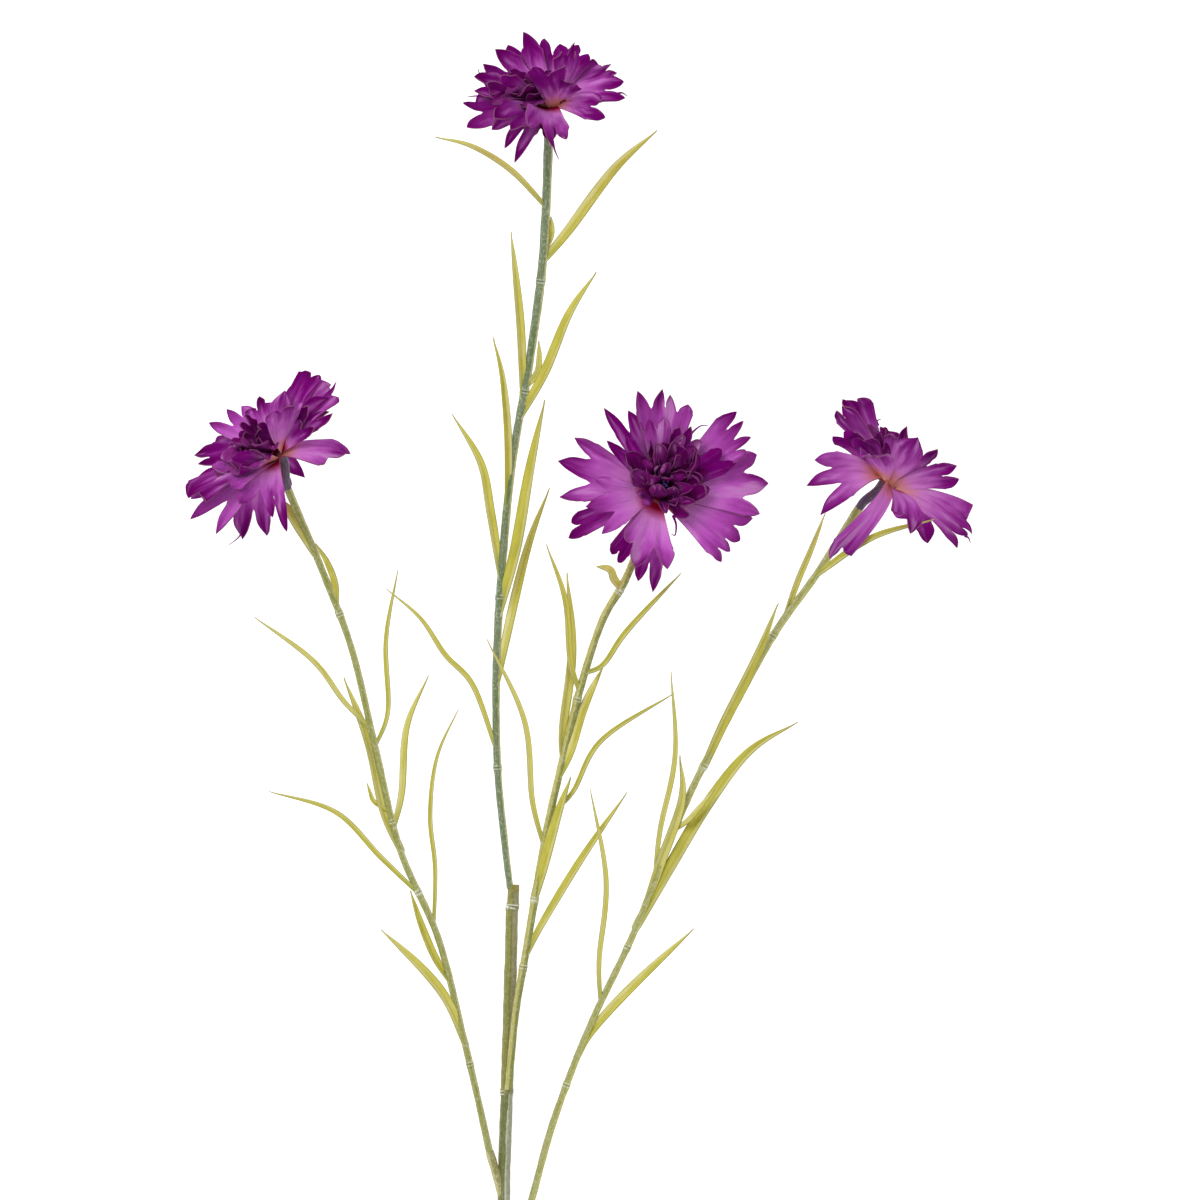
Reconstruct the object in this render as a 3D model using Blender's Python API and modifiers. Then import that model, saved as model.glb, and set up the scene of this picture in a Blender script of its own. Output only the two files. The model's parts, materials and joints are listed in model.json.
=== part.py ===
"""A cut cornflower spray lying on its side: one main stem, four leafy branches and a flower head on each.

Units are metres, +Z is up and the spray lies on the plane z = 0. +Y runs from the cut end to the top head.
The layout was read off a picture that looks straight down on the spray, so routes are given as
(pixel across, pixel down, height in mm), and spot() turns them into metres.
"""

import random
from collections import namedtuple
from math import cos, pi, radians, sin

import bmesh
import bpy
from mathutils import Vector

MM = 0.001

# Driving dimensions
MM_PER_PIXEL = 0.27  # a fully open head, 211 pixels across, is 57 mm
ORIGIN_PIXEL = (584, 828)  # middle of the spray's outline, where x = y = 0
GAP = 0.3 * MM  # left between pieces that touch
BLADE_THICKNESS = 0.6 * MM
WELD_DISTANCE = 0.005 * MM
SHARP_ANGLE = 40  # degrees

COLLAR_EXTRA = 0.3  # mm that a collar adds to the radius
COLLAR_HALF_LENGTH = 1.6  # mm
STEM_POINT_SPACING = 11 * MM
ROUTE_SAMPLES = 240  # looked through to find where on a stem a leaf is rooted
LEAF_POINT_COUNT = 6
LEAF_FOLD = 0.45  # how far a leaf's edges stand above its rib, as a share of its half width
LEAF_TIP_SHARE = 0.12  # of the half width, left at the tip

CALYX_RADII = [1.15, 1.25, 1.35, 1.35, 1.4, 1.6, 1.8]  # mm, from the stem to the petals
CALYX_STUB = 0.8 * MM  # its first and last stretches are straight
HUB_RADIUS = 3.4 * MM
HUB_HEIGHT = 1.8 * MM
DRUM_TAPER = 0.8  # a hub's or core's lower radius as a share of its upper one
PETAL_FOOT_RADIUS = 2.5 * MM
PETAL_FOOT_WIDTH = 1.8 * MM
PETAL_FOOT_RISES = (0.35 * HUB_HEIGHT, 0.65 * HUB_HEIGHT)  # taken by turns
PETAL_WAIST = 0.4  # a petal's blade begins to spread here, as a share of its length
WAIST_FAN = 0.55  # share of the petal's fan that it has at its waist
PETAL_CREASES = (0.2, PETAL_WAIST)
LOBE_EDGE = 0.68  # where the outermost lobes begin
LOBE_NOTCH = 0.64  # where the cuts between lobes end
LOBE_SHOULDER = 0.85
LOBE_SPREAD = 0.42  # from a lobe's middle to its shoulders, as a share of the angle between lobes
SIDE_LOBE_DROP = 0.12  # how much shorter the outermost lobes are
START_LEAN_SHARE = 0.75  # a petal leaves its hub at this share of the lean that its tip has
START_LEAN_LIMIT = 80  # degrees
BEND_SHARE = 0.45  # how far along a petal the corner of its arc lies
CUP_AT_FOOT = 0.15 / MM  # how sharply a petal is cupped across
CUP_AT_TIP = 0.05 / MM
CORE_RADIUS = 2.6 * MM
CORE_HEIGHT = 2.6 * MM
FLORET_FOOT_WIDTH = 1.2 * MM
FLORET_FAN = 24  # degrees
FLORET_TURN = 0.12  # radians; how far a floret may be off its even place in the ring
FLORET_LEAN_STEP = 5  # degrees, added and taken off by turns
FLORET_LENGTHS = (0.85, 1.05)  # least and greatest share of the ring's length
FLORET_ROLL = 20  # degrees
STAMEN_BASE_RADIUS = 0.8 * MM
STAMEN_BASE_HEIGHT = 0.8 * MM
STAMEN_RISE = 2.8 * MM
STAMEN_RING_RADIUS = 0.44 * MM
STAMEN_SPREAD = 0.3 * MM
STAMEN_NECK = 0.7  # where a rod begins to thicken, as a share of its length
STAMEN_RADII = [0.24, 0.24, 0.4]  # mm, at the foot, below the tip and at the tip
STAMEN_COUNT = 5

# Colours, as linear red, green and blue
STEM_GREEN = (0.24, 0.28, 0.12)
LEAF_GREEN = (0.50, 0.47, 0.10)
PETAL_PURPLE = (0.32, 0.05, 0.30)
FLORET_PLUM = (0.12, 0.01, 0.10)
CALYX_SLATE = (0.07, 0.05, 0.09)
STAMEN_VIOLET = (0.06, 0.02, 0.16)

# A stem's route is a list of (pixel across, pixel down, height mm, radius mm). Its last point carries a head.
MAIN_STEM = [
    (500, 1622, 1.75, 1.75),
    (504, 1480, 1.9, 1.75),
    (505, 1330, 2.0, 1.7),
    (504, 1200, 2.0, 1.7),
    (507, 1093, 2.0, 1.7),
    (511, 960, 2.0, 1.7),
    (513, 885, 2.0, 1.75),
]
MAIN_STEM_COLLARS = [1290, 1205, 1093, 907]  # pixels down the picture

# A socket is a short arm of the main stem, from its axis to the foot of a branch: two route points.
SOCKETS = {
    "left": [(503, 1196, 2.1, 1.65), (489.5, 1152, 2.7, 1.35)],
    "middle": [(507, 1112, 2.2, 1.5), (509, 1084, 4.9, 1.25)],
    "right": [(505, 1290, 2.1, 1.6), (522, 1232, 2.7, 1.3)],
}

# A leaf has its width in mm as seen from above, how many degrees it is turned about its length, the picture
# row where it leaves the stem, and its route from there to its tip.
Leaf = namedtuple("Leaf", "width tilt root_row route")
Branch = namedtuple("Branch", "name route collars leaves")

TOP_BRANCH = Branch(
    "top",
    [
        (509.6, 884, 2.4, 0.85),
        (505, 845, 2.9, 0.9),
        (497.5, 765, 3.3, 0.95),
        (496.5, 665, 3.6, 1.0),
        (502.5, 562, 4.6, 1.05),
        (512.5, 461, 6.6, 1.05),
        (528, 372, 9.2, 1.1),
        (541, 281, 12.8, 1.15),
        (546, 215, 15, 1.15),
        (549, 137, 16.6, 1.2),
    ],
    [768, 597, 391, 281],
    [
        Leaf(1.5, 25, 207, [(511, 171, 18), (472, 147, 20), (434, 137, 19)]),
        Leaf(2.6, -30, 262, [(570, 230, 15), (615, 170, 19), (658, 130, 24)]),
        Leaf(2.1, 30, 402, [(520, 330, 12), (515, 273, 12.5), (511, 230, 11)]),
        Leaf(2.4, -35, 418, [(546, 372, 11), (570, 314, 14), (597, 271, 16)]),
        Leaf(1.9, 40, 511, [(507, 440, 9), (502, 378, 10), (493, 336, 9)]),
        Leaf(2.2, 20, 580, [(490, 512, 5), (480, 462, 4.5), (451, 412, 3)]),
        Leaf(2.8, -40, 618, [(517, 550, 7.2), (531, 470, 9.6), (545, 398, 11.8)]),
        Leaf(2.3, -25, 686, [(517, 592, 4.4), (531, 538, 4.2), (550, 486, 2.5)]),
        Leaf(1.35, 10, 752, [(473, 686, 4.2), (445, 655, 5), (420, 618, 5.2), (384, 587, 4)]),
    ],
)

LEFT_BRANCH = Branch(
    "left",
    [
        (489, 1150, 2.65, 0.95),
        (478, 1100, 2.9, 0.9),
        (464, 1040, 3, 0.9),
        (438, 938, 3, 0.9),
        (400, 850, 3.2, 0.9),
        (376, 751, 4.2, 0.9),
        (352, 650, 6.6, 0.9),
        (323, 572, 10.4, 0.95),
        (300, 517, 14.6, 1.0),
        (288, 488, 21, 1.1),
    ],
    [1065, 893, 822, 614],
    [
        Leaf(2.4, 30, 549, [(302, 529, 10.6), (289, 510, 10), (273, 504, 9), (256, 510, 8)]),
        Leaf(1.5, -40, 606, [(336, 584, 10.6), (328, 562, 12.4), (315, 543, 14)]),
        Leaf(1.2, 15, 729, [(344, 702, 6.5), (312, 660, 9), (253, 616, 10)]),
        Leaf(1.1, -10, 747, [(388, 710, 6), (386, 640, 8.6), (398, 568, 9)]),
        Leaf(2.3, 35, 853, [(383, 812, 3.6), (368, 745, 3.4), (343, 676, 2)]),
        Leaf(1.6, -20, 828, [(402, 792, 6), (407, 727, 10), (429, 674, 12)]),
        Leaf(1.0, 5, 927, [(435, 868, 5.5), (430, 815, 7), (437, 757, 8.5), (460, 706, 9)]),
        Leaf(1.2, 10, 894, [(380, 857, 4.4), (335, 812, 6), (267, 791, 6.5)]),
        Leaf(1.7, 35, 984, [(434, 958, 2.6), (420, 924, 2.4), (410, 890, 2)]),
        Leaf(2.1, 25, 1046, [(448, 1004, 4), (424, 972, 4.6), (380, 929, 4)]),
    ],
)

MIDDLE_BRANCH = Branch(
    "middle",
    [
        (509.2, 1082, 5.0, 0.95),
        (516, 1012, 5.2, 0.95),
        (527, 947, 5.0, 1.0),
        (545, 840, 4.4, 1.0),
        (560, 772, 4, 1.0),
        (580, 690, 3.8, 1.0),
        (602, 622, 3.8, 1.0),
        (624, 583, 3.9, 1.05),
        (642, 541, 5.2, 1.1),
        (652, 514, 8.6, 1.15),
    ],
    [968, 900, 700, 592],
    [
        Leaf(1.9, 35, 589, [(613, 579, 6), (609, 570, 7), (596, 566, 6)]),
        Leaf(1.35, -15, 673, [(604, 664, 6.4), (628, 630, 9), (682, 572, 10.5)]),
        Leaf(2.3, -35, 778, [(571, 752, 4.8), (584, 710, 3.6), (604, 664, 1.8)]),
        Leaf(1.4, 20, 692, [(570, 660, 6.4), (565, 600, 8.6), (546, 543, 8)]),
        Leaf(2.2, 35, 762, [(562, 728, 3.4), (571, 650, 3.2), (567, 571, 2)]),
        Leaf(1.2, -10, 814, [(573, 792, 6), (602, 740, 7.5), (676, 692, 8)]),
        Leaf(1.35, 15, 846, [(532, 800, 6.4), (524, 720, 8.4), (486, 637, 9.5)]),
        Leaf(2.5, -40, 902, [(545, 866, 6), (558, 818, 7), (571, 776, 7.5)]),
        Leaf(1.8, -25, 957, [(542, 925, 5.6), (580, 862, 5.2), (628, 791, 4)]),
    ],
)

RIGHT_BRANCH = Branch(
    "right",
    [
        (522.6, 1230, 2.65, 0.9),
        (533, 1196, 2.9, 0.9),
        (554, 1121, 3.0, 0.9),
        (589, 1029, 3.1, 0.85),
        (636, 929, 3.2, 0.85),
        (683, 810, 3.6, 0.9),
        (725, 725, 5, 0.9),
        (774, 635, 8.4, 0.95),
        (817, 574, 14, 0.95),
        (859, 508, 21.6, 1.1),
    ],
    [1086, 948, 766, 636],
    [
        Leaf(1.4, 25, 619, [(797, 582, 10), (811, 549, 10), (826, 512, 8)]),
        Leaf(1.5, -25, 576, [(832, 564, 22), (856, 547, 29), (884, 533, 31), (935, 519, 30)]),
        Leaf(2.2, 40, 770, [(722, 724, 7), (752, 664, 10), (779, 602, 13)]),
        Leaf(2.7, -30, 932, [(672, 866, 3.4), (708, 806, 3.4), (750, 752, 4), (800, 721, 3)]),
        Leaf(1.2, -20, 831, [(689, 820, 5.6), (703, 804, 7), (716, 788, 8)]),
        Leaf(1.2, 15, 884, [(660, 830, 6.6), (675, 755, 9), (671, 669, 12)]),
        Leaf(2.2, 30, 908, [(660, 862, 4.2), (681, 800, 6), (680, 754, 7)]),
        Leaf(1.2, 10, 1003, [(599, 960, 5), (606, 880, 7.4), (590, 787, 8)]),
        Leaf(2.0, -25, 1060, [(592, 1032, 2.8), (632, 988, 3.2), (695, 928, 2.5)]),
    ],
)

# A petal is given by its middle tip in the picture and by how many mm that tip stands above the head's hub.
# fan is half the angle that its lobes spread over, and roll turns its outer end about its length, in degrees.
Petal = namedtuple("Petal", "across down rise lobes fan roll")
FloretRing = namedtuple("FloretRing", "number foot_radius lean length")  # mm and degrees
Head = namedtuple("Head", "name hub axis petals rings seed")

TOP_HEAD_PETALS = [
    Petal(544, 36, -14, 3, 25, 0),
    Petal(507, 43, -10, 3, 25, -20),
    Petal(478, 70, -3, 3, 24, 20),
    Petal(463, 112, 3, 3, 23, -25),
    Petal(497, 93, 12, 3, 22, 20),
    Petal(494, 123, 17, 3, 24, -15),
    Petal(509, 152, 12, 3, 21, 25),
    Petal(552, 143, 22, 3, 30, 0),
    Petal(538, 146, 5, 2, 17, 15),
    Petal(555, 74, 20, 3, 30, 0),
    Petal(584, 46, 4, 4, 27, 20),
    Petal(619, 72, -5, 3, 24, -25),
    Petal(625, 99, 7, 3, 23, 25),
    Petal(608, 119, 14, 3, 22, -15),
    Petal(562, 66, -21.5, 3, 25, 0),
]
LEFT_HEAD_PETALS = [
    Petal(224, 407, -12, 3, 26, 15),
    Petal(258, 397, -8, 3, 22, -20),
    Petal(288, 391, 12, 3, 24, 15),
    Petal(312, 374, -2, 4, 24, -50),
    Petal(332, 404, 6, 3, 24, 40),
    Petal(349, 454, 7, 3, 24, -50),
    Petal(304, 476, -21, 3, 22, 0),
    Petal(262, 522, 13, 4, 31, 15),
    Petal(254, 539, -8, 3, 22, -50),
    Petal(191, 519, 2, 3, 26, 45),
    Petal(195, 478, -6, 3, 22, -25),
    Petal(197, 450, -14, 3, 20, 20),
    Petal(212, 493, 13, 2, 15, 20),
    Petal(238, 462, 16, 3, 24, -10),
]
MIDDLE_HEAD_PETALS = [
    Petal(661, 391, 2, 3, 24, 10),
    Petal(615, 408, 7, 3, 18, -25),
    Petal(557, 462, 1, 3, 27, -8),
    Petal(585, 508, 11, 3, 30, 10),
    Petal(569, 537, -3, 3, 18, 12),
    Petal(615, 561, -7, 2, 15, -10),
    Petal(648, 571, 11, 3, 31, -6),
    Petal(652, 589, -3, 3, 16, 8),
    Petal(737, 548, 6, 4, 27, 10),
    Petal(768, 487, 1, 4, 28, -10),
    Petal(742, 421, 3, 4, 23, 8),
    Petal(692, 426, 5, 2, 18, 15),
    Petal(617, 450, 6, 2, 19, -15),
    Petal(722, 452, 5, 2, 17, 12),
]
RIGHT_HEAD_PETALS = [
    Petal(850, 397, -3, 3, 18, 40),
    Petal(838, 407, 5, 2, 16, -35),
    Petal(806, 485, 10, 3, 32, 55),
    Petal(834, 446, -9, 3, 22, -30),
    Petal(834, 557, 1.5, 2, 15, -50),
    Petal(910, 534, 17, 2, 15, 25),
    Petal(973, 530, -2, 3, 22, -50),
    Petal(946, 545, 5, 3, 21, 45),
    Petal(957, 473, 9, 3, 20, 30),
    Petal(938, 450, 14, 3, 28, -25),
    Petal(906, 428, 14, 2, 16, -25),
    Petal(879, 421, -14, 3, 22, 20),
    Petal(925, 468, -17, 3, 24, 0),
    Petal(871, 438, 16, 3, 27, -10),
    Petal(905, 500, -21.5, 3, 25, 0),
]

NARROW_RINGS = [FloretRing(6, 2.1, 24, 10.5), FloretRing(3, 1.8, 14, 8.5)]
WIDE_RINGS = [FloretRing(7, 2.1, 40, 12.5), FloretRing(4, 1.8, 20, 10)]

# A hub is where a head's petals meet: pixel across, pixel down and height in mm.
HEADS = [
    Head("top", (553, 107, 21.6), Vector((-0.30, 0.86, 0.41)), TOP_HEAD_PETALS, NARROW_RINGS, 11),
    Head("left", (279, 456, 21.25), Vector((-0.66, 0.55, 0.50)), LEFT_HEAD_PETALS, NARROW_RINGS, 23),
    Head("middle", (659, 495, 17), Vector((0.12, 0.26, 0.96)), MIDDLE_HEAD_PETALS, WIDE_RINGS, 35),
    Head("right", (884, 485, 21.55), Vector((0.68, 0.73, -0.05)), RIGHT_HEAD_PETALS, NARROW_RINGS, 47),
]


def clear_scene():
    for thing in list(bpy.data.objects):
        bpy.data.objects.remove(thing)


def collection_named(name, helper=False):
    made = bpy.data.collections.new(name)
    bpy.context.scene.collection.children.link(made)
    made.hide_render = helper
    return made


def material_named(name, colour, roughness):
    made = bpy.data.materials.new(name)
    made.use_nodes = True
    shader = made.node_tree.nodes["Principled BSDF"]
    shader.inputs["Base Color"].default_value = (*colour, 1)
    shader.inputs["Roughness"].default_value = roughness
    shader.inputs["Metallic"].default_value = 0
    return made


def spot(across, down, height):
    """A point of the picture, at a height in mm, in metres."""
    x = (across - ORIGIN_PIXEL[0]) * MM_PER_PIXEL
    y = (ORIGIN_PIXEL[1] - down) * MM_PER_PIXEL
    return Vector((x, y, height)) * MM


def blend(t, a, b, c, d):
    """The Catmull-Rom blend of four neighbouring values, at t between b and c."""
    return b + 0.5 * t * (c - a + t * (2 * a - 5 * b + 4 * c - d + t * (3 * b - a - 3 * c + d)))


def smooth_route(points, count):
    """count + 1 places at even steps along a Catmull-Rom curve through points, each a tuple of numbers."""
    ends = [
        tuple(2 * a - b for a, b in zip(points[0], points[1])),
        tuple(2 * a - b for a, b in zip(points[-1], points[-2])),
    ]
    padded = [ends[0], *points, ends[1]]
    places = []
    for step in range(count + 1):
        at = step / count * (len(points) - 1)
        span = min(int(at), len(points) - 2)
        t = at - span
        before, start, end, after = padded[span : span + 4]
        places.append(tuple(blend(t, *four) for four in zip(before, start, end, after)))
    return places


def poly_curve(name, places, radii, closed=False):
    curve = bpy.data.curves.new(name, "CURVE")
    curve.dimensions = "3D"
    spline = curve.splines.new("POLY")
    spline.points.add(len(places) - 1)
    for point, place, radius in zip(spline.points, places, radii):
        point.co = (*place, 1)
        point.radius = radius
    spline.use_cyclic_u = closed
    return curve


def as_mesh(thing):
    """Turns a curve object into a mesh object of the same name, its caps welded on."""
    graph = bpy.context.evaluated_depsgraph_get()
    mesh = bpy.data.meshes.new_from_object(thing.evaluated_get(graph))
    work = bmesh.new()
    work.from_mesh(mesh)
    bmesh.ops.remove_doubles(work, verts=work.verts, dist=WELD_DISTANCE)
    bmesh.ops.recalc_face_normals(work, faces=work.faces)
    work.to_mesh(mesh)
    work.free()
    name, matrix = thing.name, thing.matrix_world.copy()
    homes = list(thing.users_collection)
    bpy.data.objects.remove(thing)
    made = bpy.data.objects.new(name, mesh)
    made.matrix_world = matrix
    for home in homes:
        home.objects.link(made)
    return made


def tube(name, home, places, radii_mm, sides=6):
    """A round stem through places, in metres, whose radius in mm is given at each place."""
    curve = poly_curve(name, places, radii_mm)
    curve.bevel_depth = 1 * MM
    curve.bevel_resolution = sides // 2 - 2
    curve.use_fill_caps = True
    thing = bpy.data.objects.new(name, curve)
    home.objects.link(thing)
    bpy.context.view_layer.update()
    return as_mesh(thing)


def blade_profile(home, half_width):
    """The section that a leaf is swept from: a shallow V with sharp edges, as thick as a blade at its rib."""
    rise, rib = half_width * LEAF_FOLD, BLADE_THICKNESS / 2
    corners = [(half_width, rise, 0), (0, rib, 0), (-half_width, rise, 0), (0, -rib, 0)]
    curve = poly_curve("blade_profile", corners, [1] * len(corners), closed=True)
    curve.dimensions = "2D"
    thing = bpy.data.objects.new("blade_profile", curve)
    thing.hide_render = True
    thing.display_type = "WIRE"
    home.objects.link(thing)
    return thing


def leaf_half_width(along):
    """Share of the leaf's half width: a narrower foot, widest a third of the way up, drawn out to a point."""
    return 0.7 + 1.42 * along - 1.32 * along**2 - 0.7 * along**3


def on_stem(route, row):
    """The place on a stem's axis at a row of the picture."""
    return min(smooth_route(route, ROUTE_SAMPLES), key=lambda place: abs(place[1] - row))[:3]


def leaf_blade(name, home, leaf, stem_route):
    route = [on_stem(stem_route, leaf.root_row), *leaf.route]
    places = [spot(*place) for place in smooth_route(route, LEAF_POINT_COUNT)]
    steps = [step / LEAF_POINT_COUNT for step in range(LEAF_POINT_COUNT + 1)]
    shares = [max(LEAF_TIP_SHARE, leaf_half_width(along)) for along in steps]
    profile = blade_profile(home, leaf.width * MM / 2 / cos(radians(leaf.tilt)))
    curve = poly_curve(name, places, shares)
    curve.bevel_mode = "OBJECT"
    curve.bevel_object = profile
    curve.use_fill_caps = True
    curve.twist_mode = "Z_UP"
    for point in curve.splines[0].points:
        point.tilt = radians(leaf.tilt)
    thing = bpy.data.objects.new(name, curve)
    home.objects.link(thing)
    bpy.context.view_layer.update()
    made = as_mesh(thing)
    bpy.data.objects.remove(profile)
    return made


def fuse(body, pieces_home):
    """Joins every object of pieces_home to body as one solid, and removes them.

    The manifold solver is used because the exact one is slow on so many thin blades that cross.
    """
    union = body.modifiers.new("union", "BOOLEAN")
    union.operation = "UNION"
    union.operand_type = "COLLECTION"
    union.collection = pieces_home
    union.solver = "MANIFOLD"
    bpy.context.view_layer.update()
    graph = bpy.context.evaluated_depsgraph_get()
    joined = bpy.data.meshes.new_from_object(body.evaluated_get(graph))
    body.modifiers.clear()
    body.data = joined
    for piece in list(pieces_home.objects):
        bpy.data.objects.remove(piece)
    bpy.data.collections.remove(pieces_home)


def finish(thing, material):
    thing.data.materials.clear()
    thing.data.materials.append(material)
    thing.data.shade_smooth()
    thing.data.set_sharp_from_angle(angle=radians(SHARP_ANGLE))


def collar_places(before, after, collars):
    """The start, crest and end of each collar that lies between two places of a stem."""
    found = []
    reach = COLLAR_HALF_LENGTH / MM_PER_PIXEL
    for row in collars:
        for edge in (row + reach, row, row - reach):
            if after[1] < edge <= before[1]:
                share = (before[1] - edge) / (before[1] - after[1])
                found.append(tuple(a + (b - a) * share for a, b in zip(before, after)))
    return found


def stem_places(route, collars):
    """Places in metres and radii in mm along a stem, with a raised collar at each picture row in collars."""
    length = (spot(*route[-1][:3]) - spot(*route[0][:3])).length
    rough = smooth_route(route, round(length / STEM_POINT_SPACING))
    places = list(rough)
    for before, after in zip(rough, rough[1:]):
        places += collar_places(before, after, collars)
    places = sorted(set(places), key=lambda place: -place[1])
    radii = []
    for place in places:
        on_crest = any(abs(place[1] - row) < 0.5 for row in collars)
        radii.append(place[3] + (COLLAR_EXTRA if on_crest else 0))
    return [spot(*place[:3]) for place in places], radii


def build_branch(branch, home, material):
    places, radii = stem_places(branch.route, branch.collars)
    stem = tube(branch.name + "_branch", home, places, radii)
    blades = collection_named(branch.name + "_blades", helper=True)
    for number, leaf in enumerate(branch.leaves):
        leaf_blade(f"{branch.name}_leaf_{number}", blades, leaf, branch.route)
    fuse(stem, blades)
    finish(stem, material)


def build_main_stem(home, material):
    places, radii = stem_places(MAIN_STEM, MAIN_STEM_COLLARS)
    stem = tube("main_stem", home, places, radii, sides=8)
    arms = collection_named("socket_arms", helper=True)
    for name, (foot, mouth) in SOCKETS.items():
        tube("socket_" + name, arms, [spot(*foot[:3]), spot(*mouth[:3])], [foot[3], mouth[3]], sides=8)
    fuse(stem, arms)
    finish(stem, material)


class HeadFrame:
    """A flower head's hub, the way it faces, and the two directions that angles round it are counted from."""

    def __init__(self, head):
        self.hub = spot(*head.hub)
        self.axis = head.axis.normalized()
        self.zero = self.axis.orthogonal().normalized()
        self.quarter = self.axis.cross(self.zero)

    def place(self, angle, radius, rise):
        outward = self.zero * cos(angle) + self.quarter * sin(angle)
        return self.hub + outward * radius + self.axis * rise


def petal_outline(length, fan, lobes, foot_width):
    """The petal laid flat, as (along, across) points: a narrow foot, then one pointed lobe after another."""
    half = radians(fan)
    step = 2 * half / lobes
    waist = PETAL_WAIST * length * sin(half * WAIST_FAN)
    polar = [(LOBE_EDGE, -half)]
    for lobe in range(lobes):
        middle = -half + step * (lobe + 0.5)
        reach = 1 - SIDE_LOBE_DROP * (middle / half) ** 2
        shoulder, spread = LOBE_SHOULDER * reach, LOBE_SPREAD * step
        polar += [(shoulder, middle - spread), (reach, middle), (shoulder, middle + spread)]
        polar.append((LOBE_NOTCH, middle + 0.5 * step))
    polar[-1] = (LOBE_EDGE, half)
    outline = [(0.0, -foot_width / 2), (PETAL_WAIST * length, -waist)]
    outline += [(share * length * cos(angle), share * length * sin(angle)) for share, angle in polar]
    outline += [(PETAL_WAIST * length, waist), (0.0, foot_width / 2)]
    return outline


class Spine:
    """The arc that a petal's middle follows, from its foot in the hub to its tip."""

    def __init__(self, frame, rise, tip, foot_radius):
        centre = frame.hub + frame.axis * rise
        reach = tip - centre
        along_axis = reach.dot(frame.axis)
        self.outward = (reach - frame.axis * along_axis).normalized()
        lean = min(reach.angle(frame.axis) * START_LEAN_SHARE, radians(START_LEAN_LIMIT))
        self.foot = centre + self.outward * foot_radius
        self.tip = tip
        self.length = (tip - self.foot).length
        self.bend = self.foot + (self.outward * sin(lean) + frame.axis * cos(lean)) * self.length * BEND_SHARE
        self.sideways = frame.axis.cross(self.outward)

    def place(self, share, across, roll):
        """Where a point of the flat petal goes; the petal is cupped across, most of all near its foot."""
        ahead = (self.bend - self.foot) * (1 - share) + (self.tip - self.bend) * share
        middle = self.foot * (1 - share) ** 2 + self.bend * 2 * share * (1 - share) + self.tip * share**2
        face = ahead.normalized().cross(self.sideways)
        twist = radians(roll) * share
        across_way = self.sideways * cos(twist) + face * sin(twist)
        face_way = face * cos(twist) - self.sideways * sin(twist)
        curl = CUP_AT_FOOT + (CUP_AT_TIP - CUP_AT_FOOT) * share
        return middle + across_way * (sin(across * curl) / curl) + face_way * ((1 - cos(across * curl)) / curl)


def petal_blade(name, home, spine, lobes, fan, roll, foot_width, creases):
    """One petal as a thin closed blade: a flat outline, creased across and lengthwise, bent and thickened."""
    length = spine.length
    work = bmesh.new()
    outline = petal_outline(length, fan, lobes, foot_width)
    work.faces.new([work.verts.new((along, across, 0)) for along, across in outline])
    lines = [((share * length, 0, 0), (1, 0, 0)) for share in creases] + [((0, 0, 0), (0, 1, 0))]
    for place, normal in lines:
        whole = work.verts[:] + work.edges[:] + work.faces[:]
        bmesh.ops.bisect_plane(work, geom=whole, dist=WELD_DISTANCE, plane_co=place, plane_no=normal)
    bmesh.ops.triangulate(work, faces=work.faces)
    for vertex in work.verts:
        vertex.co = spine.place(vertex.co.x / length, vertex.co.y, roll)
    mesh = bpy.data.meshes.new(name)
    work.to_mesh(mesh)
    work.free()
    blade = bpy.data.objects.new(name, mesh)
    home.objects.link(blade)
    shell = blade.modifiers.new("thickness", "SOLIDIFY")
    shell.thickness = BLADE_THICKNESS
    shell.offset = 0
    return blade


def drum(name, home, frame, start, height, radius, taper=DRUM_TAPER, sides=10):
    """A round plug about a head's axis, that begins at start along it and widens to radius."""
    bpy.ops.mesh.primitive_cone_add(vertices=sides, radius1=radius * taper, radius2=radius, depth=height)
    thing = bpy.context.object
    thing.name = name
    thing.location = frame.hub + frame.axis * (start + height / 2)
    thing.rotation_euler = frame.axis.to_track_quat("Z", "Y").to_euler()
    for other in list(thing.users_collection):
        other.objects.unlink(thing)
    home.objects.link(thing)
    bpy.context.view_layer.update()
    thing.data.transform(thing.matrix_world)
    thing.matrix_world.identity()
    return thing


def build_calyx(head, frame, stem_route, home, material):
    """The slim dark cup between the stem and the petals, which bends from one's direction into the other's."""
    before, stem_end = stem_places(stem_route, [])[0][-2:]
    start_way = (stem_end - before).normalized()
    start = stem_end + start_way * GAP
    end = frame.hub - frame.axis * GAP
    low, high = start + start_way * CALYX_STUB, end - frame.axis * CALYX_STUB
    reach = (high - low).length / 3
    first, second = low + start_way * reach, high - frame.axis * reach
    steps = len(CALYX_RADII) - 3
    places = [start]
    for step in range(steps + 1):
        t = step / steps
        s = 1 - t
        places.append(low * s**3 + first * 3 * t * s**2 + second * 3 * t**2 * s + high * t**3)
    calyx = tube(head.name + "_calyx", home, [*places, end], CALYX_RADII, sides=8)
    finish(calyx, material)


def build_petals(head, frame, home, material):
    """The wide outer petals, joined at a small hub that stands on the calyx."""
    hub = drum(head.name + "_petals", home, frame, 0, HUB_HEIGHT, HUB_RADIUS)
    blades = collection_named(head.name + "_blades", helper=True)
    for number, petal in enumerate(head.petals):
        tip = spot(petal.across, petal.down, head.hub[2] + petal.rise)
        spine = Spine(frame, PETAL_FOOT_RISES[number % 2], tip, PETAL_FOOT_RADIUS)
        name = f"{head.name}_petal_{number}"
        petal_blade(name, blades, spine, petal.lobes, petal.fan, petal.roll, PETAL_FOOT_WIDTH, PETAL_CREASES)
    fuse(hub, blades)
    finish(hub, material)


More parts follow.
